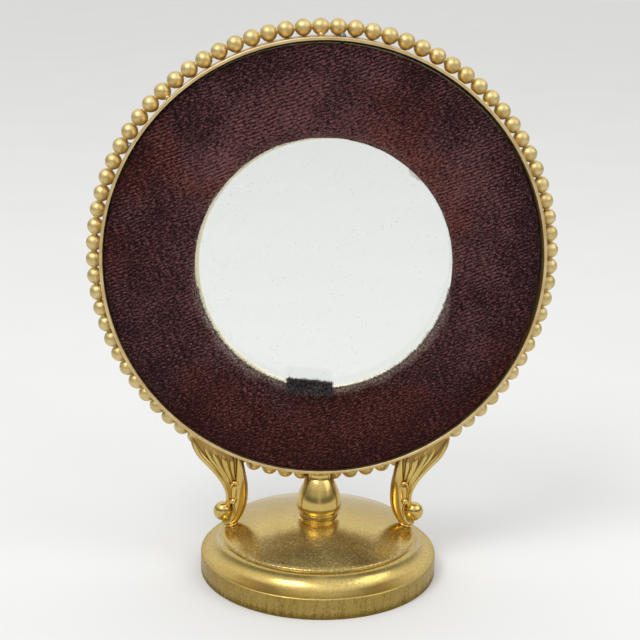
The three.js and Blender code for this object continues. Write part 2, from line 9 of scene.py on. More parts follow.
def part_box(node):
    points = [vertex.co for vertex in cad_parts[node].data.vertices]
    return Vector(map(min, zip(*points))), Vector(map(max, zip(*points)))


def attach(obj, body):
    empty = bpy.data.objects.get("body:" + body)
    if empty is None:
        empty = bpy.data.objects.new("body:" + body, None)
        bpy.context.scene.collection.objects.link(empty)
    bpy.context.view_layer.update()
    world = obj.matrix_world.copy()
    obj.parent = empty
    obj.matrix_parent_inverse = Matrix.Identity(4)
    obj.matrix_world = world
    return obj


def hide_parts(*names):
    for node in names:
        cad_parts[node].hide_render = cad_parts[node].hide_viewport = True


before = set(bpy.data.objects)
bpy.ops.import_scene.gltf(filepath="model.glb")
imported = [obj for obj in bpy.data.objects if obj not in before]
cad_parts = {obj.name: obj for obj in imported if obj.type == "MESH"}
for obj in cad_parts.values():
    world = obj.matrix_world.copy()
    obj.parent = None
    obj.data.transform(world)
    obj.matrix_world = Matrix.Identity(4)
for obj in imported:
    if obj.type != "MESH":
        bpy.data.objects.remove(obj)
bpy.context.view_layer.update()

MM = 0.001
FULL_TURN = 2 * math.pi

# Case, beads and pins. Depths run forwards, along +Y, from the rim at the case's back edge.
CASE_MIDDLE = sum(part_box("glass_disc"), Vector()) / 2
RIM_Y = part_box("case_ring")[0].y
RIM_RADIUS = 55 * MM
WALL_RADIUS = 55.6 * MM
RIM_WIDTH = 0.85 * MM  # of the thick edge at the back
RIM_DEPTH = 0.8 * MM
CASE_DEPTH = 9.8 * MM
LIP_RADIUS = 52.8 * MM
LIP_THICKNESS = 0.6 * MM
BEAD_COUNT = 85
BEAD_RADIUS = 2.13 * MM
BEAD_CIRCLE = 57.74 * MM
BEAD_DEPTH = 7.1 * MM
BEAD_NECK = 0.7 * MM
FIRST_BEAD = math.radians(2.85)
PIN_ANGLES = np.radians([86.5, 149.3, 224.6, 328.4])
PIN_DEPTH = 3.15 * MM
PIN_TIP = 52.8 * MM
PIN_SHANK = 0.35 * MM
PIN_HEAD = 0.85 * MM
PIN_HEAD_HEIGHT = 0.8 * MM
PIN_HEAD_SEAT = WALL_RADIUS + 0.3 * MM
SOLDER_ANGLES = np.radians([21.6, 45.5, 93, 136.2, 197, 288, 342])
SOLDER_SIZE = (0.8 * MM, 1.1 * MM, 0.8 * MM)
SEAT_GAP = 0.02 * MM  # between a carved piece and the wall or the dome that it stands on
BEAD_GAP = 0.1 * MM  # between the beads and the stem or the collar
LEG_BEAD_GAP = 0.03 * MM

# Layers in the case
VELVET_MIDDLE = sum(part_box("velvet_cover"), Vector()) / 2
VELVET_BACK = 1 * MM
VELVET_THICKNESS = 1 * MM
VELVET_RADIUS = 54.55 * MM
LAYER_RADIUS = 54.3 * MM
WINDOW_RADIUS = 32.2 * MM
WINDOW_MIDDLE = (0.2 * MM, -0.45 * MM)  # of the back's window, from the back's own middle
MAT_WINDOW_RADIUS = 32.05 * MM
MAT_WINDOW_MIDDLE = (0.7 * MM, -1.1 * MM)
PILE_PITCH = 0.86 * MM
PILE_SLOPE = math.radians(21)  # of the pile rows, up to the right as seen from behind
BOARD_BACK = 2.3 * MM
BOARD_FRONT = 3.5 * MM
BOARD_INNER = 32.6 * MM
BOARD_OUTER = 52 * MM
MAT_BACK = 3.8 * MM
MAT_FRONT = 4.7 * MM
GLASS_BACK = 5 * MM
GLASS_FRONT = 6.6 * MM
ENAMEL_BACK = 7.9 * MM
ENAMEL_FRONT = 8.9 * MM
ENAMEL_CROWN = 0.9 * MM
ENAMEL_INNER = 37.5 * MM
ENAMEL_SKIRT = 52.9 * MM
ENAMEL_LINES = (40.2 * MM, 51.7 * MM)  # radii of the white lines
ENAMEL_WAVE = 3.3 * MM
ENAMEL_RAYS = 96
ENAMEL_FINE_RAYS = 384
CROWN_INNER = 39.5 * MM
CROWN_OUTER = 52.5 * MM
BEZEL_BACK = 6.9 * MM
BEZEL_SIGHT = 36 * MM
BEZEL_SLEEVE = 37.2 * MM
BEZEL_FLANGE = 39.2 * MM
BEZEL_GRAINS = 120
SLIVER_TURN = (35.5, 50)  # the paper's two ends, in degrees
SLIVER_EDGE = np.array([[32.4], [31.9], [31.55], [31.2], [30.75], [30.5], [30.75], [32.1]]) * MM
SLIVER_OUTER = 33.6 * MM
SLIVER_DEPTH = 3.65 * MM
TAB_MIDDLE = sum(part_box("velvet_tab"), Vector()) / 2
TAB_LENGTH = 11.6 * MM
TAB_HEIGHT = 2.7 * MM
TAB_THICKNESS = 0.8 * MM
TAB_SLOPE = math.radians(-5.5)
TAB_LIFT = 0.2 * MM

# Base
BASE_RADIUS = 30.9 * MM
SIDE_HEIGHT = 5.6 * MM
EDGE_ROUND = 0.5 * MM
FOOT_ROUND = 0.3 * MM  # at the table
COVE_MIDDLE = (29.6 * MM, 10.4 * MM)
COVE_SIZE = (4 * MM, 4.4 * MM)
LIP_ROUND = 0.45 * MM
CREASE_DEPTH = 0.42 * MM  # under the dome's lip
DOME_RADIUS = 25.6 * MM
DOME_TOP = 14.95 * MM
DOME_RISE = 4.1 * MM
SEAT_RADIUS = 5.4 * MM
SHELL = 1.8 * MM
BOSS_RADIUS = 6.5 * MM
BORE_RADIUS = 1.8 * MM

# Stem
STEM_BOTTOM = 15 * MM
FOOT_RADIUS = 5.1 * MM
FOOT_HEIGHT = 1.2 * MM
BULB_HEIGHT = 9.4 * MM
STEM_BORE_TOP = 21 * MM
BULB_STATIONS = np.array([  # share of the bulb's height, radius
    (0, 5.05), (0.037, 5.42), (0.106, 5.72), (0.18, 5.81), (0.255, 5.79), (0.404, 5.63),
    (0.553, 5.26), (0.699, 4.72), (0.809, 4.26), (0.926, 3.7), (1, 3.25),
]) * (1, MM)
COLLAR_RADIUS = 3.1 * MM

# Legs, drawn for the right one in its own upright plane: distance out from the middle, and height.
# A rib has a half width and a half depth as well.
SOLID_BEAD_RADIUS = 2.135 * MM
LEG_PLANE_Y = (BEAD_DEPTH - SOLID_BEAD_RADIUS) / 2 + RIM_Y
LEG_LEAN = 1.7 * MM  # forwards, on the way down between two heights
LEAN_TOP = 27.4 * MM
LEAN_BOTTOM = 13 * MM
LEAF_INNER = np.array([
    (22.6, 18.6), (22, 20.8), (21, 23.5), (20.9, 26.5), (20.9, 29.4), (22.3, 33), (25.5, 36.5), (27.6, 39.8),
]) * MM
LEAF_OUTER = np.array([
    (23.6, 18.4), (24, 20.3), (24.5, 22), (25.8, 24.6), (27.6, 27.2), (30.2, 30.1), (32.8, 33.2),
    (33.7, 36.6), (33.7, 39.8),
]) * MM
LEAF_HALF = 1.3 * MM
LEAF_RIBS = [np.array(rib) * MM for rib in (
    [(33.2, 37.8, 0.3, 0.7), (32.5, 35.2, 0.9, 1.4), (31, 32.2, 1.1, 1.75), (28.5, 29.3, 1.05, 1.85),
     (26.6, 27, 0.95, 1.85), (25.2, 24.8, 0.85, 1.8), (24.15, 22.5, 0.8, 1.75), (23.75, 20.6, 0.75, 1.7),
     (23.65, 18.9, 0.8, 1.6), (23.65, 17.6, 0.75, 1.5), (23.6, 16.6, 0.5, 1.3)],
    [(30.4, 35.4, 0.2, 0.6), (29.5, 33.6, 0.95, 1.5), (28.1, 31, 1.05, 1.8), (26.3, 28.4, 0.9, 1.8),
     (24.9, 25.9, 0.8, 1.75), (23.8, 23.3, 0.65, 1.6), (23.2, 21, 0.4, 1.3)],
    [(27.9, 34.2, 0.2, 0.6), (27.4, 32.4, 1.15, 1.6), (26.2, 29.7, 1.2, 1.9), (24.8, 27, 1, 1.9),
     (23.6, 24.4, 0.75, 1.75), (22.95, 22, 0.5, 1.4)],
    [(25.4, 33, 0.2, 0.6), (25, 31.2, 1.15, 1.6), (24.4, 28.8, 1.15, 1.85), (23.45, 26.2, 0.9, 1.8),
     (22.65, 24, 0.6, 1.5)],
    [(23, 32.3, 0.2, 0.6), (22.9, 30.6, 0.85, 1.5), (22.75, 28.4, 0.85, 1.7), (22.3, 26.2, 0.6, 1.6),
     (21.9, 24.6, 0.35, 1.3)],
)]
STALK = np.array([
    (21.3, 32.4, 0.5, 1.1), (21, 30.6, 0.85, 1.5), (20.8, 28.6, 1.15, 1.8), (20.65, 26.4, 1.45, 2),
    (20.55, 24.2, 1.75, 2.1), (20.6, 21.8, 1.95, 2.1), (20.75, 19.4, 2.05, 2.1), (21.05, 17.2, 2, 2.1),
    (21.6, 15.2, 1.85, 2.05), (22.4, 13.6, 1.6, 1.95), (23.5, 12.7, 1.25, 1.8), (24.6, 12.3, 0.85, 1.4),
    (25.4, 12.35, 0.3, 0.8),
]) * MM
BELLY = np.array([
    (21.9, 24.3, 0.7, 1.5), (21.9, 22.9, 1.3, 2), (21.95, 21.3, 1.45, 2.1), (22.05, 19.8, 1.3, 2.05),
    (22.2, 18.4, 0.8, 1.7),
]) * MM
CURL = np.array([
    (23.8, 19.4), (22.9, 18.5), (22.3, 17.3), (22.1, 15.9), (22.4, 14.5), (23.2, 13.3), (24.3, 12.6),
]) * MM
CUFF = np.array([(22.9, 23.3), (22.75, 24.1), (22.3, 24.5), (21.7, 24.3), (21.1, 23.8), (20.6, 23.4)]) * MM
CUFF_OUT = 1.8 * MM  # from the leg's plane to a face's cuff
BALL_PLACE = (25.1 * MM, 15.4 * MM)
BALL_RADIUS = 2.6 * MM
DROP_PLACE = (22.5 * MM, 19 * MM)
DROP_RADIUS = 0.9 * MM
DROP_OUT = 1.85 * MM
PAD_PLACE = 22.9 * MM
PAD_RADIUS = 1.7 * MM
PAD_ROUND = 0.3 * MM
PAD_BACK = 0.5 * MM  # behind the foot's middle

# Camera: its place and turn, and its focal length as a share of the picture's width
CAMERA_PLACE = Vector((-17.14, -353.85, 165.89)) * MM
CAMERA_YAW = 0.04639
CAMERA_PITCH = 0.26978
CAMERA_ROLL = 0.0207
FOCAL_SHARE = 1449.68 / 640
SENSOR_WIDTH = 36
# Stage, in metres
FLOOR_REACH = 3.0
LAMPS = (  # name, place, size and power
    ("key", (-0.45, -0.55, 0.95), 0.5, 5.0),
    ("fill", (0.7, -0.3, 0.6), 0.6, 1.5),
)
LAMP_AIM = Vector((0, 0, 0.07))


# Shapes

def arc(middle, size, start, end, steps):
    """Points of an arc on a profile: the middle plus the radius, or an ellipse's two half sizes, times the
    angle's cosine and sine."""
    angle = np.radians(np.linspace(start, end, steps))
    return np.asarray(middle) + np.stack([np.cos(angle), np.sin(angle)], axis=1) * size


def curve_through(stations, count):
    """A smooth curve through stations: on each stretch the cubic whose end slopes are half the step between
    the neighbouring stations."""
    stations = np.asarray(stations, float)
    before = np.vstack([2 * stations[0] - stations[1], stations[:-1]])
    after = np.vstack([stations[1:], 2 * stations[-1] - stations[-2]])
    slope = (after - before) / 2
    place = np.linspace(0, len(stations) - 1, count)
    i = np.minimum(place.astype(int), len(stations) - 2)
    f = (place - i)[:, None]
    return ((2 * f**3 - 3 * f**2 + 1) * stations[i] + (f**3 - 2 * f**2 + f) * slope[i]
            + (3 * f**2 - 2 * f**3) * stations[i + 1] + (f**3 - f**2) * slope[i + 1])


def smooth_step(low, high, value):
    """0 below low, 1 above high and the cubic between them."""
    share = np.clip((value - low) / (high - low), 0, 1)
    return share * share * (3 - 2 * share)


def ripple(angle, waves, seed):
    """A closed wobble between about -1 and 1: cosines of 2 to waves turns, each with its own drawn start
    and a size that falls with its number."""
    draw = np.random.default_rng(seed)
    number = np.arange(2, waves + 1)
    start = draw.uniform(0, FULL_TURN, len(number))
    size = draw.uniform(0.4, 1, len(number)) / number**0.6
    return np.cos(np.multiply.outer(angle, number) + start) @ size / np.sqrt((size**2).sum() * 2)


def spots(x, y, z):
    """Points from their three numbers, each spread over the others."""
    return np.stack(np.broadcast_arrays(x, y, z), axis=-1)


def about_stem(radius, height, angle):
    """Points at a radius and angle round the upright axis."""
    return spots(radius * np.cos(angle), radius * np.sin(angle), height)


def about_case(radius, depth, angle, middle=CASE_MIDDLE):
    """Points at a radius and angle round a level axis, a depth in front of the rim."""
    return spots(middle.x + radius * np.cos(angle), RIM_Y + depth, middle.z + radius * np.sin(angle))


def turns(count):
    """Angles at equal steps round a whole turn."""
    return np.linspace(0, FULL_TURN, count, endpoint=False)


def unit(vectors):
    """Vectors over their own lengths."""
    return vectors / np.linalg.norm(vectors, axis=1)[:, None]


def skin(rings, closed=False, ends=None):
    """A closed skin over rings of points, an array of rings, sides and three. Each ring closes on itself.
    The run of rings closes on itself too, or is drawn in to a point at each end, which is that ring's
    middle unless given."""
    count, sides = rings.shape[:2]
    points = rings.reshape(-1, 3)
    here = np.arange(count * sides).reshape(count, sides)
    ahead = np.roll(here, -1, axis=1)
    up, up_ahead = np.roll(here, -1, axis=0), np.roll(ahead, -1, axis=0)
    quads = np.stack([here, ahead, up_ahead, up], axis=-1)
    if closed:
        return outwards(points, quads.reshape(-1, 4), np.zeros((0, 3), int))
    low, high = ends if ends is not None else (rings[0].mean(0), rings[-1].mean(0))
    points = np.vstack([points, low, high])
    first = np.stack([ahead[0], here[0], np.full(sides, len(points) - 2)], axis=-1)
    last = np.stack([here[-1], ahead[-1], np.full(sides, len(points) - 1)], axis=-1)
    return outwards(points, quads[:-1].reshape(-1, 4), np.vstack([first, last]))


def outwards(points, quads, triangles):
    """The shell with its faces turned outwards: their signed volume, a sixth of the sum of each triangle's
    triple product, is made positive."""
    halves = np.vstack([quads[:, [0, 1, 2]], quads[:, [0, 2, 3]], triangles])
    a, b, c = (points[halves[:, i]] for i in range(3))
    if (a * np.cross(b, c)).sum() < 0:
        quads, triangles = quads[:, ::-1], triangles[:, ::-1]
    return points, quads, triangles


def joined(shells):
    """Several shells as one, their faces counted on."""
    starts = np.cumsum([0] + [len(s[0]) for s in shells[:-1]])
    points = np.vstack([s[0] for s in shells])
    quads, triangles = (np.vstack([s[i] + start for s, start in zip(shells, starts)]) for i in (1, 2))
    return points, quads, triangles


def lathe(profile, place, sides, closed=True):
    """A profile of radius and length along the axis, carried round the axis."""
    return skin(place(profile[:, :1], profile[:, 1:], turns(sides)[None, :]), closed)


def ball(middle, size, rows=20, sides=32):
    """A ball or, with three half sizes, an egg: rings at equal steps of latitude."""
    size = np.broadcast_to(size, 3)
    latitude = np.linspace(-math.pi / 2, math.pi / 2, rows + 2)[1:-1, None]
    rings = about_stem(np.cos(latitude), np.sin(latitude), turns(sides)[None, :])
    pole = np.array([0, 0, size[2]])
    return skin(np.asarray(middle) + rings * size, ends=(middle - pole, middle + pole))


def strands(roots, directions, lengths, radius, droop):
    """Short fibres: each a three-sided spike of three rings and a tip, straight along its direction and
    bent by droop times the square of the share of its length."""
    share = np.array([0, 0.4, 0.75])
    side = unit(np.cross(directions, (0.31, 0.87, 0.39)))
    other = np.cross(directions, side)
    angle = turns(3)
    spoke = side[:, None] * np.cos(angle)[:, None] + other[:, None] * np.sin(angle)[:, None]
    step = directions * lengths[:, None]
    line = roots[:, None] + step[:, None] * share[:, None] + droop[:, None] * share[:, None] ** 2
    rings = line[:, :, None] + spoke[:, None] * (radius * (1 - 0.6 * share))[None, :, None, None]
    tip = roots + step + droop
    points = np.concatenate([rings.reshape(len(roots), 9, 3), tip[:, None]], axis=1)
    quad = [(k + j, k + (j + 1) % 3, k + 3 + (j + 1) % 3, k + 3 + j) for k in (0, 3) for j in range(3)]
    triangle = [(0, 2, 1)] + [(6 + j, 6 + (j + 1) % 3, 9) for j in range(3)]
    start = 10 * np.arange(len(roots))[:, None, None]
    quads, triangles = np.array(quad) + start, np.array(triangle) + start
    return outwards(points.reshape(-1, 3), quads.reshape(-1, 4), triangles.reshape(-1, 3))


def clear_of_beads(points, gap):
    """Points inside the bead run's tube are moved straight out to its skin and a gap."""
    points = points.copy()
    out, up = points[:, 0] - CASE_MIDDLE.x, points[:, 2] - CASE_MIDDLE.z
    radius = np.hypot(out, up)
    across, along = radius - BEAD_CIRCLE, points[:, 1] - (RIM_Y + BEAD_DEPTH)
    push = np.maximum(1, (BEAD_RADIUS + gap) / np.maximum(np.hypot(across, along), 1e-9))
    moved = (BEAD_CIRCLE + across * push) / radius
    points[:, 0], points[:, 2] = CASE_MIDDLE.x + out * moved, CASE_MIDDLE.z + up * moved
    points[:, 1] = RIM_Y + BEAD_DEPTH + along * push
    return points


def clear_of_case(points, gap):
    """Points inside the case's wall are moved out to it, away from its axis."""
    points = points.copy()
    out, up = points[:, 0] - CASE_MIDDLE.x, points[:, 2] - CASE_MIDDLE.z
    push = np.maximum(1, (WALL_RADIUS + gap) / np.hypot(out, up))
    points[:, 0], points[:, 2] = CASE_MIDDLE.x + out * push, CASE_MIDDLE.z + up * push
    return points


def dome_height(radius):
    """The dome's skin: its top less its rise times the square of the share of its radius."""
    return DOME_TOP - DOME_RISE * (radius / DOME_RADIUS) ** 2


def clear_of_dome(points, gap):
    """Points under the dome's skin and a gap are lifted to there."""
    points = points.copy()
    points[:, 2] = np.maximum(points[:, 2], dome_height(np.hypot(points[:, 0], points[:, 1])) + gap)
    return points


# Pieces

def add_object(name, data):
    """Puts a mesh, a lamp or a camera in the scene."""
    made = bpy.data.objects.new(name, data)
    bpy.context.scene.collection.objects.link(made)
    return made


def add_piece(name, shell, finish, body, slot, stands_for=(), sharp=None, **values):
    """Makes a shell an object that rides on a body. Values are numbers for each point, which the finish
    reads."""
    points, quads, triangles = shell
    mesh = bpy.data.meshes.new(name)
    mesh.from_pydata(points.tolist(), [], quads.tolist() + triangles.tolist())
    mesh.polygons.foreach_set("use_smooth", np.ones(len(mesh.polygons), bool))
    if sharp is not None:
        mesh.set_sharp_from_angle(angle=math.radians(sharp))
    for key, value in values.items():
        carried = mesh.attributes.new(key, "FLOAT", "POINT")
        carried.data.foreach_set("value", np.ascontiguousarray(value, np.float32))
    mesh.materials.append(finish)
    mesh.update()
    piece = add_object(name, mesh)
    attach(piece, body)
    if stands_for:
        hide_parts(*stands_for)
    return piece


def base_profile():
    """The base's section as a closed loop: a straight side with rounded edges, a band that sweeps up into a
    hollow cove, a crease, a rounded lip, the dome, the stem's raised seat, the stud's bore and the hollow
    underside."""
    foot = arc((BASE_RADIUS - FOOT_ROUND, FOOT_ROUND), FOOT_ROUND, -90, 0, 6)
    edge = arc((BASE_RADIUS - EDGE_ROUND, SIDE_HEIGHT - EDGE_ROUND), EDGE_ROUND, 0, 85, 10)
    sweep = np.array([(-0.75, 0.04), (-1.2, 0.14)]) * MM + (BASE_RADIUS, SIDE_HEIGHT)
    cove = arc(COVE_MIDDLE, COVE_SIZE, 258, 190, 32)
    top = COVE_MIDDLE[1]
    crease = [(DOME_RADIUS - 0.3 * MM, top - 0.68 * MM), (DOME_RADIUS - CREASE_DEPTH, top - 0.54 * MM)]
    lip = arc((DOME_RADIUS - LIP_ROUND, top), LIP_ROUND, -60, 70, 12)
    radius = np.linspace(DOME_RADIUS - 0.65 * MM, SEAT_RADIUS + 0.15 * MM, 70)
    dome = np.stack([radius, dome_height(radius)], axis=1)
    seat = [(SEAT_RADIUS, DOME_TOP - 0.04 * MM), (SEAT_RADIUS - 0.08 * MM, DOME_TOP), (BORE_RADIUS, DOME_TOP)]
    boss = dome_height(BOSS_RADIUS) - SHELL
    edge_inside = DOME_RADIUS - SHELL
    under = [(BORE_RADIUS, boss), (BOSS_RADIUS - 0.3 * MM, boss), (BOSS_RADIUS, boss - 0.1 * MM)]
    cone = (edge_inside, dome_height(edge_inside) - SHELL)
    hollow = arc(COVE_MIDDLE, np.add(COVE_SIZE, SHELL), 200, 250, 10)
    inside = BASE_RADIUS - SHELL
    wall = [(inside, SIDE_HEIGHT - SHELL), (inside, 0.2 * MM), (inside + 0.2 * MM, 0)]
    return np.vstack([foot, edge, sweep, cove, crease, lip, dome, seat, under, cone, hollow, wall])


def stem_shell():
    """The acorn stem: a smooth bulb over a foot drum with rounded edges, bored from below, and hollowed
    where the beads pass it."""
    edge, notch = 0.2 * MM, 0.12 * MM
    low_edge = arc((FOOT_RADIUS - edge, STEM_BOTTOM + edge), edge, -80, 0, 7)
    high_edge = arc((FOOT_RADIUS - edge, STEM_BOTTOM + FOOT_HEIGHT - notch - edge), edge, 0, 75, 7)
    bulb = curve_through(BULB_STATIONS, 80) * (BULB_HEIGHT, 1) + (STEM_BOTTOM + FOOT_HEIGHT, 0)
    bore = [(0.2 * MM, STEM_BORE_TOP), (BORE_RADIUS, STEM_BORE_TOP), (BORE_RADIUS, STEM_BOTTOM)]
    top = (0.3 * MM, STEM_BOTTOM + FOOT_HEIGHT + BULB_HEIGHT)
    profile = np.vstack([bore, low_edge, high_edge, bulb[:, ::-1], top])
    points, quads, triangles = lathe(profile, about_stem, 96, closed=False)
    return clear_of_beads(points, BEAD_GAP), quads, triangles


def collar_shell():
    """The collar: waisted rings between the stem's top and the case's wall, whose curve the upper ones
    follow."""
    angle = turns(64)[None, :]
    share = np.linspace(0, 1, 14)[:, None]
    radius = COLLAR_RADIUS * (1 - 0.06 * np.sin(math.pi * share))
    bottom = STEM_BOTTOM + FOOT_HEIGHT + BULB_HEIGHT
    wall = CASE_MIDDLE.z - np.sqrt((WALL_RADIUS + SEAT_GAP) ** 2 - (radius * np.cos(angle)) ** 2)
    points, quads, triangles = skin(about_stem(radius, bottom + share * (wall - bottom), angle))
    return clear_of_beads(points, BEAD_GAP), quads, triangles


def case_profile():
    """The case's section: a thick edge at the back, a thin wall and a lip turned in at the front, with
    rounded edges."""
    small, rim = 0.22 * MM, 0.3 * MM
    rim_outer = RIM_RADIUS + RIM_WIDTH
    inside = arc((RIM_RADIUS + small, small), small, 180, 270, 6)
    outside = arc((rim_outer - rim, rim), rim, 270, 360, 8)
    under = arc((rim_outer - small, RIM_DEPTH - small), small, 0, 90, 5)
    wall = (WALL_RADIUS, RIM_DEPTH)
    front = arc((WALL_RADIUS - small, CASE_DEPTH - small), small, 0, 90, 7)
    half = LIP_THICKNESS / 2
    lip = arc((LIP_RADIUS + half, CASE_DEPTH - half), half, 90, 270, 12)
    lip_back = CASE_DEPTH - LIP_THICKNESS
    corner = [(RIM_RADIUS - 0.1 * MM, lip_back), (RIM_RADIUS, lip_back - 0.1 * MM)]
    return np.vstack([inside, outside, under, wall, front, lip, corner])


def bead_run():
    """Touching beads joined by necks: rings round the bead circle, whose radius is a ball's along each bead
    and a neck's between two."""
    pitch = FULL_TURN / BEAD_COUNT
    end = math.acos(BEAD_NECK / BEAD_RADIUS)
    latitude = np.linspace(-end, end, 17)
    along = np.append(BEAD_RADIUS * np.sin(latitude) / BEAD_CIRCLE, pitch / 2)
    radius = np.append(BEAD_RADIUS * np.cos(latitude), BEAD_NECK * 0.9)
    size = 1 - np.random.default_rng(BEAD_COUNT).uniform(0, 0.012, BEAD_COUNT)[:, None]
    angle = (FIRST_BEAD + pitch * np.arange(BEAD_COUNT)[:, None] + along).reshape(-1, 1)
    radius = (radius * size).reshape(-1, 1)
    turn = turns(24)[None, :]
    out, deep = BEAD_CIRCLE + radius * np.cos(turn), BEAD_DEPTH + radius * np.sin(turn)
    return skin(about_case(out, deep, angle), closed=True)


def solder_points():
    """Small fillets of solder between the beads and the wall: eggs on the wall at a few angles."""
    eggs = []
    for angle in SOLDER_ANGLES:
        near = FIRST_BEAD + round((angle - FIRST_BEAD) * BEAD_COUNT / FULL_TURN) * FULL_TURN / BEAD_COUNT
        middle = about_case(WALL_RADIUS + 0.35 * MM, BEAD_DEPTH - 0.9 * MM, near)
        eggs.append(ball(middle, SOLDER_SIZE, 8, 12))
    return joined(eggs)


def pin_shell(angle):
    """A round-headed pin: its shank and domed head carried round the line out from the case's middle."""
    head = arc((0, PIN_HEAD_SEAT), (PIN_HEAD, PIN_HEAD_HEIGHT), 0, 80, 9)
    under = [(PIN_SHANK, WALL_RADIUS + 0.12 * MM), (PIN_HEAD * 0.9, WALL_RADIUS + 0.16 * MM)]
    shank = [(PIN_SHANK * 0.2, PIN_TIP), (PIN_SHANK, PIN_TIP + 0.7 * MM)]
    profile = np.vstack([shank, under, head])
    out = np.array([math.cos(angle), 0, math.sin(angle)])
    across = np.array([-math.sin(angle), 0, math.cos(angle)])
    turn = turns(24)[None, :, None]
    middle = np.array([CASE_MIDDLE.x, RIM_Y + PIN_DEPTH, CASE_MIDDLE.z])
    spoke = across * np.cos(turn) + np.array([0, 1, 0]) * np.sin(turn)
    rings = middle + profile[:, 1:, None] * out + profile[:, :1, None] * spoke
    return skin(rings, ends=(middle + out * PIN_TIP, middle + out * (PIN_HEAD_SEAT + PIN_HEAD_HEIGHT)))


def glass_profile():
    """The glass's section: a flat disc whose front edge is rounded."""
    edge, middle = 0.2 * MM, 0.5 * MM
    rounded = arc((LAYER_RADIUS - edge, GLASS_FRONT - edge), edge, 0, 90, 5)
    return np.vstack([(middle, GLASS_BACK), (LAYER_RADIUS, GLASS_BACK), rounded, (middle, GLASS_FRONT)])


def off_middle(radius, window_radius, window_middle, outer_radius):
    """How far a ring's points move for a window cut off its middle: the whole way at the window, not at all
    at the outer edge and in proportion between them."""
    share = np.clip((outer_radius - radius) / (outer_radius - window_radius), 0, 1.05)
    return np.stack([share * window_middle[0], 0 * share, share * window_middle[1]], axis=-1)


def velvet_shell():
    """The velvet cover: a ring whose section is a flat oblong with rounded edges at the back, with a
    hand-cut wobble along its two edges and soft hollows over its face. Worn is 1 at the window's edge."""
    inside, outside = 0.55 * MM, 0.3 * MM
    inner = arc((WINDOW_RADIUS + inside, VELVET_BACK + inside), inside, 180, 270, 8)
    radius = np.linspace(WINDOW_RADIUS + inside, VELVET_RADIUS - outside, 40)[1:-1]
    face = np.stack([radius, np.full_like(radius, VELVET_BACK)], axis=1)
    outer = arc((VELVET_RADIUS - outside, VELVET_BACK + outside), outside, 270, 360, 8)
    front = VELVET_BACK + VELVET_THICKNESS
    under = [(VELVET_RADIUS, front), (WINDOW_RADIUS, front)]
    out, depth = np.vstack([inner, face, outer, under]).T[..., None]
    angle = turns(720)
    near_window = smooth_step(3 * MM, 0, out - WINDOW_RADIUS)
    near_edge = smooth_step(2 * MM, 0, VELVET_RADIUS - out)
    wobble = near_window * 0.1 * MM * ripple(angle, 40, 3)
    wobble = wobble - near_edge * 0.05 * MM * (1 + ripple(angle, 30, 4))
    sink = 0.06 * MM * (1 + ripple(angle, 9, 5)) * smooth_step(front, VELVET_BACK, depth)
    rings = about_case(out + wobble, depth + sink, angle, VELVET_MIDDLE)
    rings = rings + off_middle(out, WINDOW_RADIUS, WINDOW_MIDDLE, VELVET_RADIUS)
    low = smooth_step(0.1, -0.6, np.sin(angle))
    reach = (1.3 + 0.9 * ripple(angle, 60, 6) + 0.8 * low) * MM
    share = np.clip((out - WINDOW_RADIUS) / np.maximum(reach, 0.4 * MM), 0, 1)
    worn = (1 - share) * (0.25 + 0.75 * low)
    return skin(rings, closed=True), worn.ravel()


def window_fibres(count, low, high, length, along, thickness, seed):
    """Loose pile at the window's edge: fibres at drawn angles that lean in over it, and along it by a
    share."""
    draw = np.random.default_rng(seed)
    angle = np.radians(draw.uniform(low, high, count))
    depth = draw.uniform(VELVET_BACK + 0.05 * MM, VELVET_BACK + 0.85 * MM, count)
    radius = WINDOW_RADIUS + draw.uniform(0, 0.3 * MM, count)
    roots = about_case(radius, depth, angle, VELVET_MIDDLE) + (WINDOW_MIDDLE[0], 0, WINDOW_MIDDLE[1])
    inwards = np.stack([-np.cos(angle), np.zeros(count), -np.sin(angle)], axis=1)
    way = np.sign(draw.normal(size=(count, 1)))
    onwards = np.stack([-np.sin(angle), np.zeros(count), np.cos(angle)], axis=1) * way
    directions = unit(inwards * (1 - along) + onwards * along + draw.normal(0, 0.35, (count, 3)))
    lengths = length * (0.4 + draw.gamma(3, 0.2, count))
    return strands(roots, directions, lengths, thickness, draw.normal(0, 0.3, (count, 3)) * lengths[:, None])


def tab_place(out, up, y):
    """Points of the tab from their places along and across it."""
    cos, sin = math.cos(TAB_SLOPE), math.sin(TAB_SLOPE)
    x, z = TAB_MIDDLE.x + out * cos - up * sin, TAB_MIDDLE.z + TAB_LIFT + out * sin + up * cos
    return spots(x, y, z)


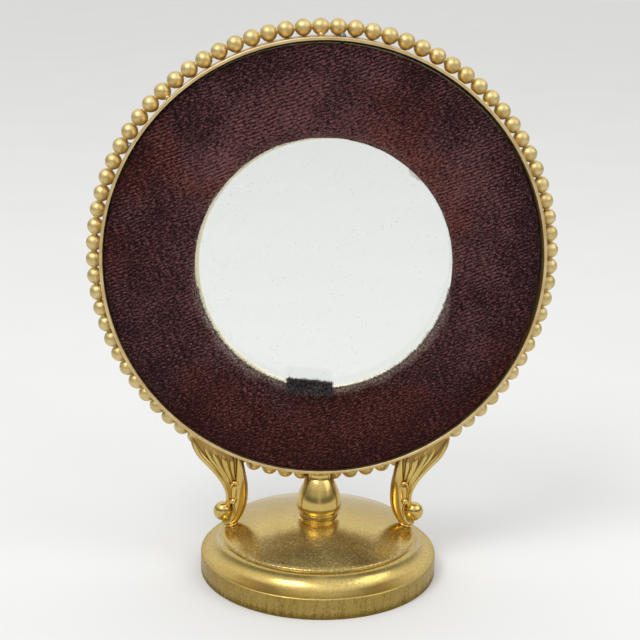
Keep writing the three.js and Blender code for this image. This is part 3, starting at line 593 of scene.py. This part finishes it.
def tab_shell():
    """The worn tab: loops of an oblong's outline, ragged in and out along it, which are drawn in over both
    faces. The back is lumpy by the product of a wave along it and one across."""
    corner = 1.15 * MM
    x, z = TAB_LENGTH / 2 - corner, TAB_HEIGHT / 2 - corner
    middles = [(x, z), (-x, z), (-x, -z), (x, -z)]
    corners = [arc(middle, corner, 90 * n, 90 * n + 90, 8) for n, middle in enumerate(middles)]
    loop = np.vstack(corners + [(x + corner, z)])
    passed = np.append(0, np.cumsum(np.linalg.norm(np.diff(loop, axis=0), axis=1)))
    place = np.linspace(0, passed[-1], 360, endpoint=False)
    turn = turns(len(place))
    out = np.interp(place, passed, loop[:, 0]) * (1 + 0.05 * ripple(turn, 70, 7))
    up = np.interp(place, passed, loop[:, 1]) * (1 + 0.27 * ripple(turn, 70, 8))
    share = np.append(np.linspace(0.1, 1, 12), (0.9, 0.5, 0.1))[:, None]
    face = np.append(-np.ones(12), np.ones(3))[:, None]
    out, up = out * share, up * share
    rise = 1 - share**5
    lump = np.sin(out / (0.21 * MM) + 2 * np.sin(up / (0.5 * MM))) * np.cos(up / (0.19 * MM))
    y = TAB_MIDDLE.y + rise * (face * 0.3 * TAB_THICKNESS + (face < 0) * 0.1 * TAB_THICKNESS * lump)
    return skin(tab_place(out, up, y))


def tab_fibres(count, seed):
    """Loose pile on the tab, thickest along its edges, leaning outwards from its middle."""
    draw = np.random.default_rng(seed)
    out = draw.uniform(-0.49, 0.49, count) * TAB_LENGTH
    up = np.sin(draw.uniform(-1.5, 1.5, count)) * 0.48 * TAB_HEIGHT
    roots = tab_place(out, up, TAB_MIDDLE.y - draw.uniform(-0.2, 0.3, count) * TAB_THICKNESS)
    lean = np.stack([out / TAB_LENGTH, np.full(count, -0.15), 1.6 * up / TAB_HEIGHT], axis=1)
    directions = unit(lean + draw.normal(0, 0.45, (count, 3)) * (1, 0.3, 1))
    lengths = draw.gamma(3, 0.16 * MM, count) + 0.25 * MM
    droop = draw.normal(0, 0.15 * MM, (count, 3)) * (1, 0.3, 1)
    return strands(roots, directions, lengths, 0.075 * MM, droop)


def card_ring(window_radius, window_middle, outer, back, front, middle, layers, seed):
    """A ring of card: an oblong section whose inner edge steps in and out where its layers part, with a
    wobble of each layer along that edge."""
    depth = np.linspace(back, front, 2 * layers + 1)
    lip = window_radius + 0.16 * MM * (np.arange(len(depth)) % 2)
    out, deep = np.vstack([np.stack([lip, depth], axis=1), [(outer, front), (outer, back)]]).T[..., None]
    angle = turns(360)
    near = out < window_radius + 0.3 * MM
    layer = np.minimum(np.arange(len(out)) // 2, layers)
    wobble = np.stack([ripple(angle, 45, seed + n) for n in range(layers + 1)])[layer]
    rings = about_case(out + near * 0.13 * MM * wobble, deep, angle, middle)
    return skin(rings + off_middle(out, window_radius, window_middle, outer), closed=True)


def paper_sliver():
    """A torn sliver of paper held between the board and the mat: flat loops along an arc of the window,
    from an inner edge torn in and out to an outer edge behind the velvet."""
    angle = np.radians(np.linspace(*SLIVER_TURN, 60))[:, None]
    torn = curve_through(SLIVER_EDGE, 60) + 0.08 * MM * ripple(angle[:, 0] * 9, 20, 12)[:, None]
    turn = turns(12)[None, :]
    radius = (torn + SLIVER_OUTER) / 2 - (SLIVER_OUTER - torn) / 2 * np.cos(turn)
    return skin(about_case(radius, SLIVER_DEPTH + 0.05 * MM * np.sin(turn), angle))


def enamel_profile():
    """The enamel ring's section: a swelling front between flat edges, and a skirt behind its outer edge."""
    half = (CROWN_OUTER - CROWN_INNER) / 2
    crown = arc(((CROWN_INNER + CROWN_OUTER) / 2, ENAMEL_FRONT), (half, ENAMEL_CROWN), 0, 180, 40)
    skirt = [(ENAMEL_SKIRT, ENAMEL_BACK), (ENAMEL_SKIRT, BEZEL_BACK), (LAYER_RADIUS, BEZEL_BACK)]
    inner, outer = (ENAMEL_INNER, ENAMEL_FRONT), (LAYER_RADIUS, ENAMEL_FRONT)
    return np.vstack([(ENAMEL_INNER, ENAMEL_BACK), skirt, outer, crown, inner])


def bezel_shell():
    """The inner bezel: a sleeve and a flange, whose rolled front has a row of grains: its height is lifted
    by the size of a sine round the ring."""
    front = CASE_DEPTH
    roll = arc((BEZEL_FLANGE - 0.5 * MM, front - 0.45 * MM), (0.5 * MM, 0.3 * MM), 0, 150, 9)
    ledge = front - 0.6 * MM
    sight = arc((BEZEL_SIGHT + 0.7 * MM, ledge), (0.7 * MM, 0.6 * MM), 70, 180, 10)
    sleeve = [(BEZEL_SIGHT, BEZEL_BACK), (BEZEL_SLEEVE, BEZEL_BACK), (BEZEL_SLEEVE, ledge),
              (BEZEL_FLANGE, ledge)]
    profile = np.vstack([sleeve, roll, sight])
    angle = turns(BEZEL_GRAINS * 8)
    on_roll = np.zeros((len(profile), 1))
    on_roll[len(sleeve):-len(sight), 0] = np.sin(np.linspace(0.2, math.pi - 0.2, len(roll)))
    lift = 0.14 * MM * (np.abs(np.sin(angle * BEZEL_GRAINS / 2)) ** 0.7 * on_roll)
    return skin(about_case(profile[:, :1], profile[:, 1:] + lift, angle), closed=True)


def leaf_web():
    """The web behind the ribs of the right leg's leaf: flat loops from its inner to its outer edge."""
    rows, sides = 60, 40
    inner, outer = curve_through(LEAF_INNER, rows)[:, None], curve_through(LEAF_OUTER, rows)[:, None]
    turn = turns(sides)
    across = (0.5 - 0.5 * np.cos(turn))[None, :, None]
    flat = inner * (1 - across) + outer * across
    deep = np.sign(np.sin(turn)) * np.abs(np.sin(turn)) ** 0.6 * LEAF_HALF
    return skin(spots(flat[..., 0], LEG_PLANE_Y + deep, flat[..., 1]))


def rib(stations, count, y=LEG_PLANE_Y, sides=36):
    """Ovals across a curve in a leg's plane, whose half width lies in that plane and half depth across it."""
    out, up, wide, deep = curve_through(stations, count).T[..., None]
    ahead = unit(np.stack([np.gradient(out[:, 0]), np.gradient(up[:, 0])], axis=1))
    turn = turns(sides)[None, :]
    x, z = out - ahead[:, 1:] * wide * np.cos(turn), up + ahead[:, :1] * wide * np.cos(turn)
    return skin(spots(x, y + deep * np.sin(turn), z))


def along_line(line, wide, deep):
    """Stations on a line whose half sizes swell from its two ends to its middle."""
    swell = np.sin(np.linspace(0.5, math.pi - 0.4, len(line)))[:, None]
    return np.hstack([line, wide * swell, deep * swell])


def leg_shell(side):
    """A leg: the leaf's web and ribs, the stalk that comes down its inner side and rolls out under the
    ball, the belly beside it, the ball and its curl, a drop and a cuff on each face, and a pad on the dome.
    It leans forwards on its way down, and is kept off the case's wall, the beads and the dome. Hollow is
    how far a point lies below the ribs' crests."""
    curl = along_line(CURL, 0.42 * MM, 2.25 * MM)
    cuff = along_line(CUFF, 0.5 * MM, 0.55 * MM)
    shells = [leaf_web()] + [rib(r, 70) for r in LEAF_RIBS]
    shells += [rib(STALK, 130, sides=48), rib(BELLY, 60, sides=48), rib(curl, 60, sides=24)]
    shells.append(ball((BALL_PLACE[0], LEG_PLANE_Y, BALL_PLACE[1]), BALL_RADIUS, 30, 48))
    for face in (-1, 1):
        drop = (DROP_PLACE[0], LEG_PLANE_Y + face * DROP_OUT, DROP_PLACE[1])
        shells.append(ball(drop, DROP_RADIUS, 16, 24))
        shells.append(rib(cuff, 50, LEG_PLANE_Y + face * CUFF_OUT, 16))
    points, quads, triangles = joined(shells)
    deepest = np.abs(points[:, 1] - LEG_PLANE_Y)
    upper = smooth_step(19 * MM, 24 * MM, points[:, 2]) * smooth_step(38 * MM, 36 * MM, points[:, 2])
    hollow = smooth_step(1.7 * MM, 1.1 * MM, deepest) * upper
    points[:, 1] += LEG_LEAN * smooth_step(LEAN_TOP, LEAN_BOTTOM, points[:, 2])
    pad = arc((PAD_RADIUS - PAD_ROUND, PAD_ROUND), PAD_ROUND, -80, 85, 9)
    turn = turns(40)[None, :]
    x = PAD_PLACE + pad[:, :1] * np.cos(turn)
    y = LEG_PLANE_Y + LEG_LEAN - PAD_BACK + pad[:, :1] * np.sin(turn)
    foot = skin(spots(x, y, dome_height(np.hypot(x, y)) + pad[:, 1:]))
    hollow = np.append(hollow, np.zeros(len(foot[0])))
    points, quads, triangles = joined([(points, quads, triangles), foot])
    points = clear_of_beads(clear_of_case(points, SEAT_GAP), LEG_BEAD_GAP)
    return outwards(clear_of_dome(points, SEAT_GAP) * (side, 1, 1), quads, triangles), hollow


# Finishes

class Wire:
    """An output socket in a node tree. Python's operators on it add Math nodes."""

    def __init__(self, finish, socket):
        self.finish, self.socket = finish, socket

    def maths(self, operation, *others):
        """A Math node's result with this wire as its first number."""
        return self.finish.maths(operation, self, *others)

    def __add__(self, other):
        return self.maths("ADD", other)

    def __sub__(self, other):
        return self.maths("SUBTRACT", other)

    def __rsub__(self, other):
        return self.finish.maths("SUBTRACT", other, self)

    def __mul__(self, other):
        return self.maths("MULTIPLY", other)

    def __truediv__(self, other):
        return self.maths("DIVIDE", other)

    def __pow__(self, other):
        return self.maths("POWER", other)

    __radd__, __rmul__ = __add__, __mul__

    def within(self, low, high):
        """0 below low and 1 above high, with a smooth rise."""
        sockets = {"Value": self, "From Min": low, "From Max": high}
        return self.finish.node("ShaderNodeMapRange", {"interpolation_type": "SMOOTHSTEP"}, sockets)


class Finish:
    """A material, or the world, whose nodes come from one method."""

    def __init__(self, owner):
        owner.use_nodes = True
        self.owner, self.tree = owner, owner.node_tree
        self.tree.nodes.clear()

    def node(self, kind, settings=None, sockets=None, output=0):
        """Adds a node. Its settings are set first, a ramp's stops among them, then its sockets' values or
        links."""
        made = self.tree.nodes.new(kind)
        for key, value in (settings or {}).items():
            if key == "stops":
                elements = made.color_ramp.elements
                while len(elements) < len(value):
                    elements.new(0.5)
                for element, (place, colour) in zip(elements, value):
                    element.position, element.color = place, (*colour, 1)
            else:
                setattr(made, key, value)
        for key, value in (sockets or {}).items():
            if isinstance(value, Wire):
                self.tree.links.new(value.socket, made.inputs[key])
            else:
                made.inputs[key].default_value = value
        return Wire(self, made.outputs[output])

    def maths(self, operation, *values):
        """A Math node's result."""
        return self.node("ShaderNodeMath", {"operation": operation}, dict(enumerate(values)))

    def place(self):
        """A point's place on its piece, in metres."""
        return self.node("ShaderNodeTexCoord", output="Object")

    def parts(self, vector):
        """A vector's three numbers."""
        split = self.node("ShaderNodeSeparateXYZ", None, {0: vector})
        return [Wire(self, socket) for socket in split.socket.node.outputs]

    def vector(self, x, y, z):
        """A vector of three numbers."""
        return self.node("ShaderNodeCombineXYZ", None, {0: x, 1: y, 2: z})

    def grain(self, size, where=None, detail=2.0, rough=0.5):
        """Noise from 0 to 1 whose features are about that size."""
        return self.node("ShaderNodeTexNoise", None, {
            "Vector": where or self.place(), "Scale": 1 / size, "Detail": detail, "Roughness": rough})

    def cells(self, size, where=None):
        """Distance from drawn points about that far apart, as a share of that size."""
        return self.node("ShaderNodeTexVoronoi", None, {"Vector": where or self.place(), "Scale": 1 / size})

    def blend(self, share, first, second):
        """From one colour to another."""
        colours = [c if isinstance(c, Wire) else (*c, 1) for c in (first, second)]
        return self.node("ShaderNodeMix", {"data_type": "RGBA"}, {0: share, 6: colours[0], 7: colours[1]}, 2)

    def value(self, name):
        """A number that the piece's points carry."""
        return self.node("ShaderNodeAttribute", {"attribute_name": name}, output="Fac")

    def bump(self, height, depth, strength=1.0):
        """Normals of a relief that is that deep."""
        return self.node("ShaderNodeBump", None, {"Height": height, "Distance": depth, "Strength": strength})

    def surface(self, **sockets):
        """Ends the material in a Principled shader. A socket's name is given in small letters with _ for a
        space."""
        named = {key.replace("_", " ").title().replace("Ior", "IOR"): value for key, value in sockets.items()}
        return self.end(self.node("ShaderNodeBsdfPrincipled", None, named))

    def end(self, shader, kind="ShaderNodeOutputMaterial"):
        """Links a shader to the output and gives the material or the world."""
        output = self.tree.nodes.new(kind)
        self.tree.links.new(shader.socket, output.inputs["Surface"])
        return self.owner


def finish(name):
    """A new material to build."""
    return Finish(bpy.data.materials.new(name))


def aged_gilt():
    """Old gilding: cloudy tone, brown specks and fine scratches, and a painted dark reflection over the
    dome's front. The straight side is darker and browner, with brown streaks down it and painted shade
    towards its foot."""
    f = finish("aged_gilt")
    x, y, z = f.parts(f.place())
    cloud = f.grain(9 * MM, detail=4)
    speck = f.grain(0.5 * MM, detail=4, rough=0.75)
    fleck = f.grain(0.62 * MM, detail=2, rough=0.6).within(0.5, 0.66)
    front = y.within(-4 * MM, -17 * MM) * z.within(9.6 * MM, 10.6 * MM)
    # Wear, with a painted dark reflection added over the front of the dome and its lip.
    worn = (speck * 0.95 + cloud * 0.3 + front * 0.17).within(0.52, 0.94)
    side = z.within(6 * MM, 5 * MM)
    run = f.grain(1.0, f.vector(x / (0.9 * MM), y / (0.9 * MM), z / (7 * MM)), detail=4, rough=0.65)
    # Streaks down the side, with painted shade towards its foot at the table.
    stain = side * (run * 0.7 + speck * 0.5 + z.within(2.4 * MM, 0.2 * MM) * 0.25).within(0.52, 0.95)
    long = f.grain(1.0, f.vector(x / (7 * MM) - y / (9 * MM), y / (0.3 * MM) + x / (0.4 * MM), 0.0), detail=3)
    scratch = long.within(0.6, 0.68) * f.grain(8 * MM).within(0.45, 0.55)
    gold = f.blend(cloud.within(0.3, 0.7), (0.6, 0.43, 0.13), (0.72, 0.545, 0.19))
    colour = f.blend(worn * 0.78, gold, (0.22, 0.15, 0.045))
    colour = f.blend((fleck * 0.5 + scratch * 0.4) * front, colour, (0.85, 0.72, 0.38))
    colour = f.blend(side * 0.5 + stain * 0.5, colour, (0.19, 0.12, 0.016))
    rough = 0.15 + worn * 0.17 + scratch * 0.12 + stain * 0.25 + cloud * 0.06
    rough = rough + z.within(8 * MM, 6 * MM) * 0.16
    return f.surface(base_color=colour, metallic=1 - worn * 0.3, roughness=rough,
                     normal=f.bump(speck * 0.5 - scratch, 0.012 * MM, 0.4))


def bright_gilt():
    """Polished gilding, with painted shade in the hollows of the carving and brown specks of dirt."""
    f = finish("bright_gilt")
    cloud = f.grain(5 * MM, detail=3)
    speck = f.grain(0.35 * MM, detail=3)
    hollow = f.value("hollow")
    gold = f.blend(cloud.within(0.3, 0.7), (0.56, 0.385, 0.11), (0.65, 0.48, 0.165))
    # Painted shade in the carving's hollows, plus brown specks of dirt.
    hollow_shade_and_specks = hollow.within(0.2, 1) * 0.7 + speck.within(0.62, 0.8) * 0.18
    colour = f.blend(hollow_shade_and_specks, gold, (0.2, 0.095, 0.02))
    rough = 0.15 + cloud * 0.1 + hollow * 0.15
    relief = f.bump(cloud * 0.7 + speck * 0.3, 0.04 * MM, 0.35)
    return f.surface(base_color=colour, metallic=1.0, roughness=rough, normal=relief)


def satin_gilt():
    """Satin gilding with a fine tooth, a little darker in patches."""
    f = finish("satin_gilt")
    cloud = f.grain(2.2 * MM, detail=3)
    tooth = f.grain(0.22 * MM, detail=3)
    gold = f.blend(cloud.within(0.3, 0.7), (0.57, 0.435, 0.185), (0.7, 0.565, 0.28))
    colour = f.blend(tooth.within(0.6, 0.8) * 0.35, gold, (0.4, 0.24, 0.07))
    relief = f.bump(tooth + cloud, 0.03 * MM, 0.5)
    return f.surface(base_color=colour, metallic=1.0, roughness=0.36 + tooth * 0.2, normal=relief)


def pale_gilt():
    """The rim's paler, rubbed gilding, with a fine brushing."""
    f = finish("pale_gilt")
    cloud = f.grain(4 * MM, detail=3)
    tooth = f.grain(0.3 * MM, detail=4, rough=0.7)
    gold = f.blend(cloud.within(0.3, 0.7), (0.57, 0.41, 0.19), (0.69, 0.53, 0.285))
    colour = f.blend(tooth.within(0.6, 0.78) * 0.45, gold, (0.42, 0.25, 0.1))
    relief = f.bump(tooth, 0.03 * MM, 0.5)
    return f.surface(base_color=colour, metallic=1.0, roughness=0.3 + tooth * 0.25, normal=relief)


def dull_steel():
    """Dull steel, darker in spots."""
    f = finish("dull_steel")
    cloud = f.grain(0.8 * MM, detail=4)
    colour = f.blend(cloud.within(0.4, 0.75), (0.2, 0.19, 0.18), (0.07, 0.055, 0.045))
    relief = f.bump(cloud, 0.03 * MM, 0.4)
    return f.surface(base_color=colour, metallic=1.0, roughness=0.25 + cloud * 0.2, normal=relief)


def pile_place(f):
    """Along and across the pile rows, in metres."""
    x, _, z = f.parts(f.place())
    cos, sin = math.cos(PILE_SLOPE), math.sin(PILE_SLOPE)
    return x * cos + z * sin, z * cos - x * sin


def burgundy_velvet():
    """Short pile in slanting rows: fine flecks, drawn out a little along the rows, over faint patches,
    with painted light over the window's upper side and painted shade towards the outer edge, redder
    lower down, with lint and a greyed, worn edge."""
    f = finish("burgundy_velvet")
    along, across = pile_place(f)
    x, _, z = f.parts(f.place())
    sway = (f.grain(6 * MM, detail=2) - 0.5) * (1.3 * PILE_PITCH)
    row = ((across + sway) * (FULL_TURN / PILE_PITCH)).maths("SINE") * 0.5 + 0.5
    fleck = f.grain(1.0, f.vector(along / (1 * MM), 0.0, (across + sway) / (0.34 * MM)), detail=2, rough=0.65)
    nap = f.grain(0.34 * MM, detail=2, rough=0.8)
    combed = f.grain(16 * MM, detail=2).within(0.42, 0.62) * z.within(48 * MM, 75 * MM)
    patch = f.grain(7 * MM, detail=4)
    broad = f.grain(20 * MM, f.vector(along, 0.07, across), detail=2)
    red = (broad + z.within(62 * MM, 38 * MM) * 0.2).within(0.48, 0.7)
    up = z - CASE_MIDDLE.z
    radius = (x * x + up * up) ** 0.5
    # Painted light over the window's upper side, and painted shade towards the outer edge.
    painted_light_above_window = radius.within(46 * MM, 34 * MM) * z.within(82 * MM, 112 * MM)
    shaded = radius.within(44 * MM, 54 * MM)
    light = fleck * 1.6 + nap * 0.9 + patch * 0.25 + row * (0.06 + combed * 0.16)
    light = light + painted_light_above_window * 0.1 - shaded * 0.06
    dark = f.blend(red, (0.012, 0.0036, 0.0046), (0.017, 0.0034, 0.0034))
    pale = f.blend(red, (0.168, 0.07, 0.072), (0.172, 0.058, 0.05))
    pile = f.blend(light.within(1.29, 1.87), dark, pale)
    lint = f.cells(2.2 * MM).within(0.1, 0.05) * f.grain(2.6 * MM).within(0.5, 0.6)
    dusty = f.blend(lint * 0.5, pile, (0.3, 0.22, 0.19))
    tuft = f.grain(0.5 * MM, detail=3, rough=0.7)
    greyed = f.blend(nap.within(0.35, 0.65), (0.075, 0.046, 0.042), (0.36, 0.28, 0.24))
    colour = f.blend(f.value("worn") * tuft.within(0.36, 0.56), dusty, greyed)
    return f.surface(base_color=colour, roughness=0.95, specular_ior_level=0.1, sheen_weight=0.04,
                     sheen_roughness=0.4, sheen_tint=(0.6, 0.3, 0.28, 1),
                     normal=f.bump(fleck * 0.6 + nap, 0.1 * MM, 0.6))


def loose_pile(name, dark, pale):
    """Loose fibres, each tuft of them a little lighter or darker."""
    f = finish(name)
    colour = f.blend(f.grain(0.45 * MM, detail=3).within(0.36, 0.64), dark, pale)
    return f.surface(base_color=colour, roughness=0.95, specular_ior_level=0.1)


def black_pile():
    """Worn black cloth with brown and grey tufts and a few pale flecks."""
    f = finish("black_pile")
    tuft = f.grain(0.4 * MM, detail=4, rough=0.7)
    cloth = f.blend(tuft.within(0.42, 0.75), (0.008, 0.006, 0.008), (0.1, 0.085, 0.088))
    fleck = f.cells(1.1 * MM).within(0.16, 0.08) * f.grain(2.3 * MM).within(0.48, 0.56)
    colour = f.blend(fleck * 0.8, cloth, (0.6, 0.57, 0.52))
    relief = f.bump(tuft, 0.3 * MM, 0.9)
    return f.surface(base_color=colour, roughness=1.0, specular_ior_level=0.1, normal=relief)


def cream_card():
    """Aged card: cream with brown stains and fine fibres."""
    f = finish("cream_card")
    fibre = f.grain(0.25 * MM, detail=4, rough=0.7)
    stain = f.grain(9 * MM, detail=3)
    card = f.blend(stain.within(0.45, 0.8), (0.95, 0.92, 0.74), (0.8, 0.7, 0.44))
    colour = f.blend(fibre.within(0.55, 0.8) * 0.35, card, (0.45, 0.34, 0.17))
    relief = f.bump(fibre, 0.05 * MM, 0.5)
    return f.surface(base_color=colour, roughness=0.9, specular_ior_level=0.2, normal=relief)


def torn_paper():
    """White paper with loose fibres."""
    f = finish("torn_paper")
    fibre = f.grain(0.3 * MM, detail=4, rough=0.7)
    colour = f.blend(fibre.within(0.4, 0.8), (0.94, 0.92, 0.89), (0.74, 0.7, 0.66))
    return f.surface(base_color=colour, roughness=0.9, normal=f.bump(fibre, 0.08 * MM, 0.7))


def dusty_glass():
    """Clear glass: what is behind it and a gloss that grows with the fifth power of the slant, under specks
    of dust, smears and hairlines, which are where a noise crosses its middle."""
    f = finish("dusty_glass")
    speck = f.cells(1.5 * MM).within(0.12, 0.06) * f.grain(6 * MM, detail=3).within(0.45, 0.6)
    x, _, z = f.parts(f.place())
    smear = f.grain(1.0, f.vector((x + z) / (9 * MM), 0.0, (z - x) / (2 * MM)), detail=4).within(0.5, 0.85)
    line = (f.grain(7 * MM, detail=1) - 0.5).maths("ABSOLUTE").within(0.0035, 0.001)
    hair = line * f.grain(5 * MM).within(0.56, 0.62)
    dust = speck * 0.6 + smear * 0.025 + hair * 0.16 + 0.006
    clear = f.node("ShaderNodeBsdfTransparent", None, {"Color": (0.97, 0.985, 0.97, 1)})
    gloss = f.node("ShaderNodeBsdfGlossy", None, {"Color": (1, 1, 1, 1), "Roughness": 0.03})
    slant = f.node("ShaderNodeLayerWeight", None, {"Blend": 0.5}, output="Facing")
    glass = f.node("ShaderNodeMixShader", None, {0: slant ** 5 * 0.9 + 0.035, 1: clear, 2: gloss})
    film = f.node("ShaderNodeBsdfDiffuse", None, {"Color": (0.5, 0.49, 0.45, 1)})
    return f.end(f.node("ShaderNodeMixShader", None, {0: dust, 1: glass, 2: film}))


def engine_turned_enamel():
    """Clear blue enamel over engine turning: fine rays bent by waves along the radius, brighter where a
    ray's cut faces up, between two thin white lines."""
    f = finish("engine_turned_enamel")
    x, _, z = f.parts(f.place())
    z = z - CASE_MIDDLE.z
    radius = (x * x + z * z) ** 0.5
    angle = z.maths("ARCTAN2", x)
    bend = (radius * (FULL_TURN / ENAMEL_WAVE)).maths("SINE")
    ray = (angle * ENAMEL_RAYS + bend * 1.5).maths("SINE") * 0.5 + 0.5
    fine = (angle * ENAMEL_FINE_RAYS + bend * 3).maths("SINE") * 0.5 + 0.5
    swirl = f.grain(6 * MM, detail=3)
    light = ray * 0.6 + fine * 0.2 + swirl * 0.3
    blue = f.blend(light.within(0.15, 1.0), (0.004, 0.018, 0.085), (0.03, 0.14, 0.46))
    inner, outer = ((radius - r).maths("ABSOLUTE").within(0.42 * MM, 0.34 * MM) for r in ENAMEL_LINES)
    colour = f.blend(inner + outer, blue, (0.8, 0.78, 0.7))
    return f.surface(base_color=colour, roughness=0.28 + fine * 0.1, coat_weight=1.0, coat_roughness=0.04,
                     specular_ior_level=0.6)


def pale_floor():
    """A pale, faintly mottled floor."""
    f = finish("pale_floor")
    tone = f.grain(60 * MM, detail=5)
    colour = f.blend(tone, (0.7, 0.7, 0.69), (0.74, 0.74, 0.735))
    return f.surface(base_color=colour, roughness=0.7, specular_ior_level=0.2)


# The stand
gilt, old_gilt, satin, rim_gilt, steel = bright_gilt(), aged_gilt(), satin_gilt(), pale_gilt(), dull_steel()
base = lathe(base_profile(), about_stem, 192)
add_piece("base", base, old_gilt, "stand", "aged_gilt", ["base_plinth"], sharp=50)
add_piece("stem", stem_shell(), gilt, "stand", "bright_gilt", ["stem_baluster"], sharp=60)
add_piece("collar", collar_shell(), gilt, "stand", "bright_gilt", ["stem_collar"], sharp=60)
for leg_name, leg_side in (("left_leg", -1), ("right_leg", 1)):
    leg, leg_hollow = leg_shell(leg_side)
    add_piece(leg_name + "_carved", leg, gilt, "stand", "bright_gilt", [leg_name], hollow=leg_hollow)

# The case
case = lathe(case_profile(), about_case, 360)
add_piece("case", case, rim_gilt, "stand", "bright_gilt", ["case_ring"], sharp=50)
add_piece("beads", bead_run(), satin, "stand", "satin_gilt", ["bead_ring"])
add_piece("solder", solder_points(), satin, "stand", "satin_gilt")
for number, pin_angle in enumerate(PIN_ANGLES, 1):
    pin = pin_shell(pin_angle)
    add_piece(f"pin_{number}", pin, steel, "stand", "steel", [f"case_pin_{number}"], sharp=50)
glass = lathe(glass_profile(), about_case, 192, closed=False)
add_piece("glass", glass, dusty_glass(), "stand", "glass", ["glass_disc"], sharp=50)
card = cream_card()
mat = card_ring(MAT_WINDOW_RADIUS, MAT_WINDOW_MIDDLE, LAYER_RADIUS, MAT_BACK, MAT_FRONT, CASE_MIDDLE, 3, 20)
add_piece("mat", mat, card, "stand", "cream_card", ["mat_ring"], sharp=40)
add_piece("paper_sliver", paper_sliver(), torn_paper(), "stand", "cream_card", sharp=50)
enamel = lathe(enamel_profile(), about_case, 240)
add_piece("enamel", enamel, engine_turned_enamel(), "stand", "enamel", ["enamel_ring"], sharp=40)
add_piece("bezel", bezel_shell(), gilt, "stand", "bright_gilt", ["inner_bezel"], sharp=50)

# The back
board = card_ring(BOARD_INNER, WINDOW_MIDDLE, BOARD_OUTER, BOARD_BACK, BOARD_FRONT, VELVET_MIDDLE, 3, 30)
add_piece("board", board, card, "back", "cream_card", ["backing_board"], sharp=40)
cover, cover_worn = velvet_shell()
velvet = add_piece("velvet", cover, burgundy_velvet(), "back", "velvet", ["velvet_cover"], worn=cover_worn)
add_piece("tab", tab_shell(), black_pile(), "back", "black_cloth", ["velvet_tab"])
fibres = [
    window_fibres(3200, 190, 350, 0.55 * MM, 0.4, 0.08 * MM, 40),
    window_fibres(500, -10, 190, 0.4 * MM, 0.4, 0.05 * MM, 41),
]
worn_pile = loose_pile("loose_pile", (0.05, 0.03, 0.028), (0.38, 0.3, 0.26))
window_fuzz = add_piece("window_fuzz", joined(fibres), worn_pile, "back", "velvet")
threads = window_fibres(90, 105, 205, 1.6 * MM, 0.85, 0.05 * MM, 42)
pale_threads = loose_pile("pale_threads", (0.6, 0.57, 0.48), (0.9, 0.88, 0.8))
add_piece("threads", threads, pale_threads, "back", "cream_card")
black_tufts = loose_pile("black_tufts", (0.008, 0.006, 0.008), (0.14, 0.118, 0.118))
add_piece("tab_fuzz", tab_fibres(2800, 43), black_tufts, "back", "black_cloth")

# Fasteners under the base keep their solids
for node_name in ("stem_stud", "stud_washer", "stud_nut", "left_leg_screw", "right_leg_screw"):
    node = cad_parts[node_name]
    node.data.materials.clear()
    node.data.materials.append(steel)


# Stage

def add_stage():
    """A pale floor, a studio that is bright above, pale behind the frame and dim behind the camera but for
    an upright soft panel there, and two lamps."""
    mesh = bpy.data.meshes.new("floor")
    corners = [(x * FLOOR_REACH, y * FLOOR_REACH, 0) for x, y in ((-1, -1), (1, -1), (1, 1), (-1, 1))]
    mesh.from_pydata(corners, [], [(0, 1, 2, 3)])
    mesh.materials.append(pale_floor())
    floor = add_object("floor", mesh)

    world = bpy.data.worlds.new("studio")
    bpy.context.scene.world = world
    f = Finish(world)
    x, y, z = f.parts(f.node("ShaderNodeTexCoord", output="Generated"))
    around = f.blend(y.within(-0.5, 0.6), (0.17, 0.185, 0.17), (0.72, 0.72, 0.72))
    aside = x.maths("ABSOLUTE")
    around = f.blend(aside.within(0.45, 0.85) * 0.6, around, (0.16, 0.17, 0.16))
    panel = aside.within(0.22, 0.06) * y.within(-0.6, -0.85)
    around = f.blend(panel * 0.8, around, (0.62, 0.62, 0.58))
    sky = f.blend(z.within(0.12, 0.62), around, (1.05, 1.05, 1.05))
    f.end(f.node("ShaderNodeBackground", None, {"Color": sky, "Strength": 1.0}), "ShaderNodeOutputWorld")

    for name, place, size, power in LAMPS:
        lamp = bpy.data.lights.new(name, "AREA")
        lamp.size, lamp.energy = size, power
        lamp_object = add_object(name, lamp)
        lamp_object.location = place
        aim = LAMP_AIM - lamp_object.location
        lamp_object.rotation_euler = aim.to_track_quat("-Z", "Y").to_euler()


def add_camera():
    """A camera at its place, turned by its yaw about the upright, its pitch down and its roll about its
    line of sight."""
    yaw, pitch, roll = CAMERA_YAW, CAMERA_PITCH, CAMERA_ROLL
    ahead = Vector((math.sin(yaw) * math.cos(pitch), math.cos(yaw) * math.cos(pitch), -math.sin(pitch)))
    level = Vector((math.cos(yaw), -math.sin(yaw), 0))
    upright = level.cross(ahead)
    right = math.cos(roll) * level + math.sin(roll) * upright
    up = math.cos(roll) * upright - math.sin(roll) * level
    lens = bpy.data.cameras.new("camera")
    lens.sensor_width, lens.lens = SENSOR_WIDTH, SENSOR_WIDTH * FOCAL_SHARE
    lens.clip_start, lens.clip_end = 0.01, 20
    camera = add_object("camera", lens)
    camera.matrix_world = Matrix.Translation(CAMERA_PLACE) @ Matrix((right, up, -ahead)).transposed().to_4x4()
    bpy.context.scene.camera = camera


add_stage()
add_camera()
bpy.context.scene.view_settings.view_transform = "Standard"
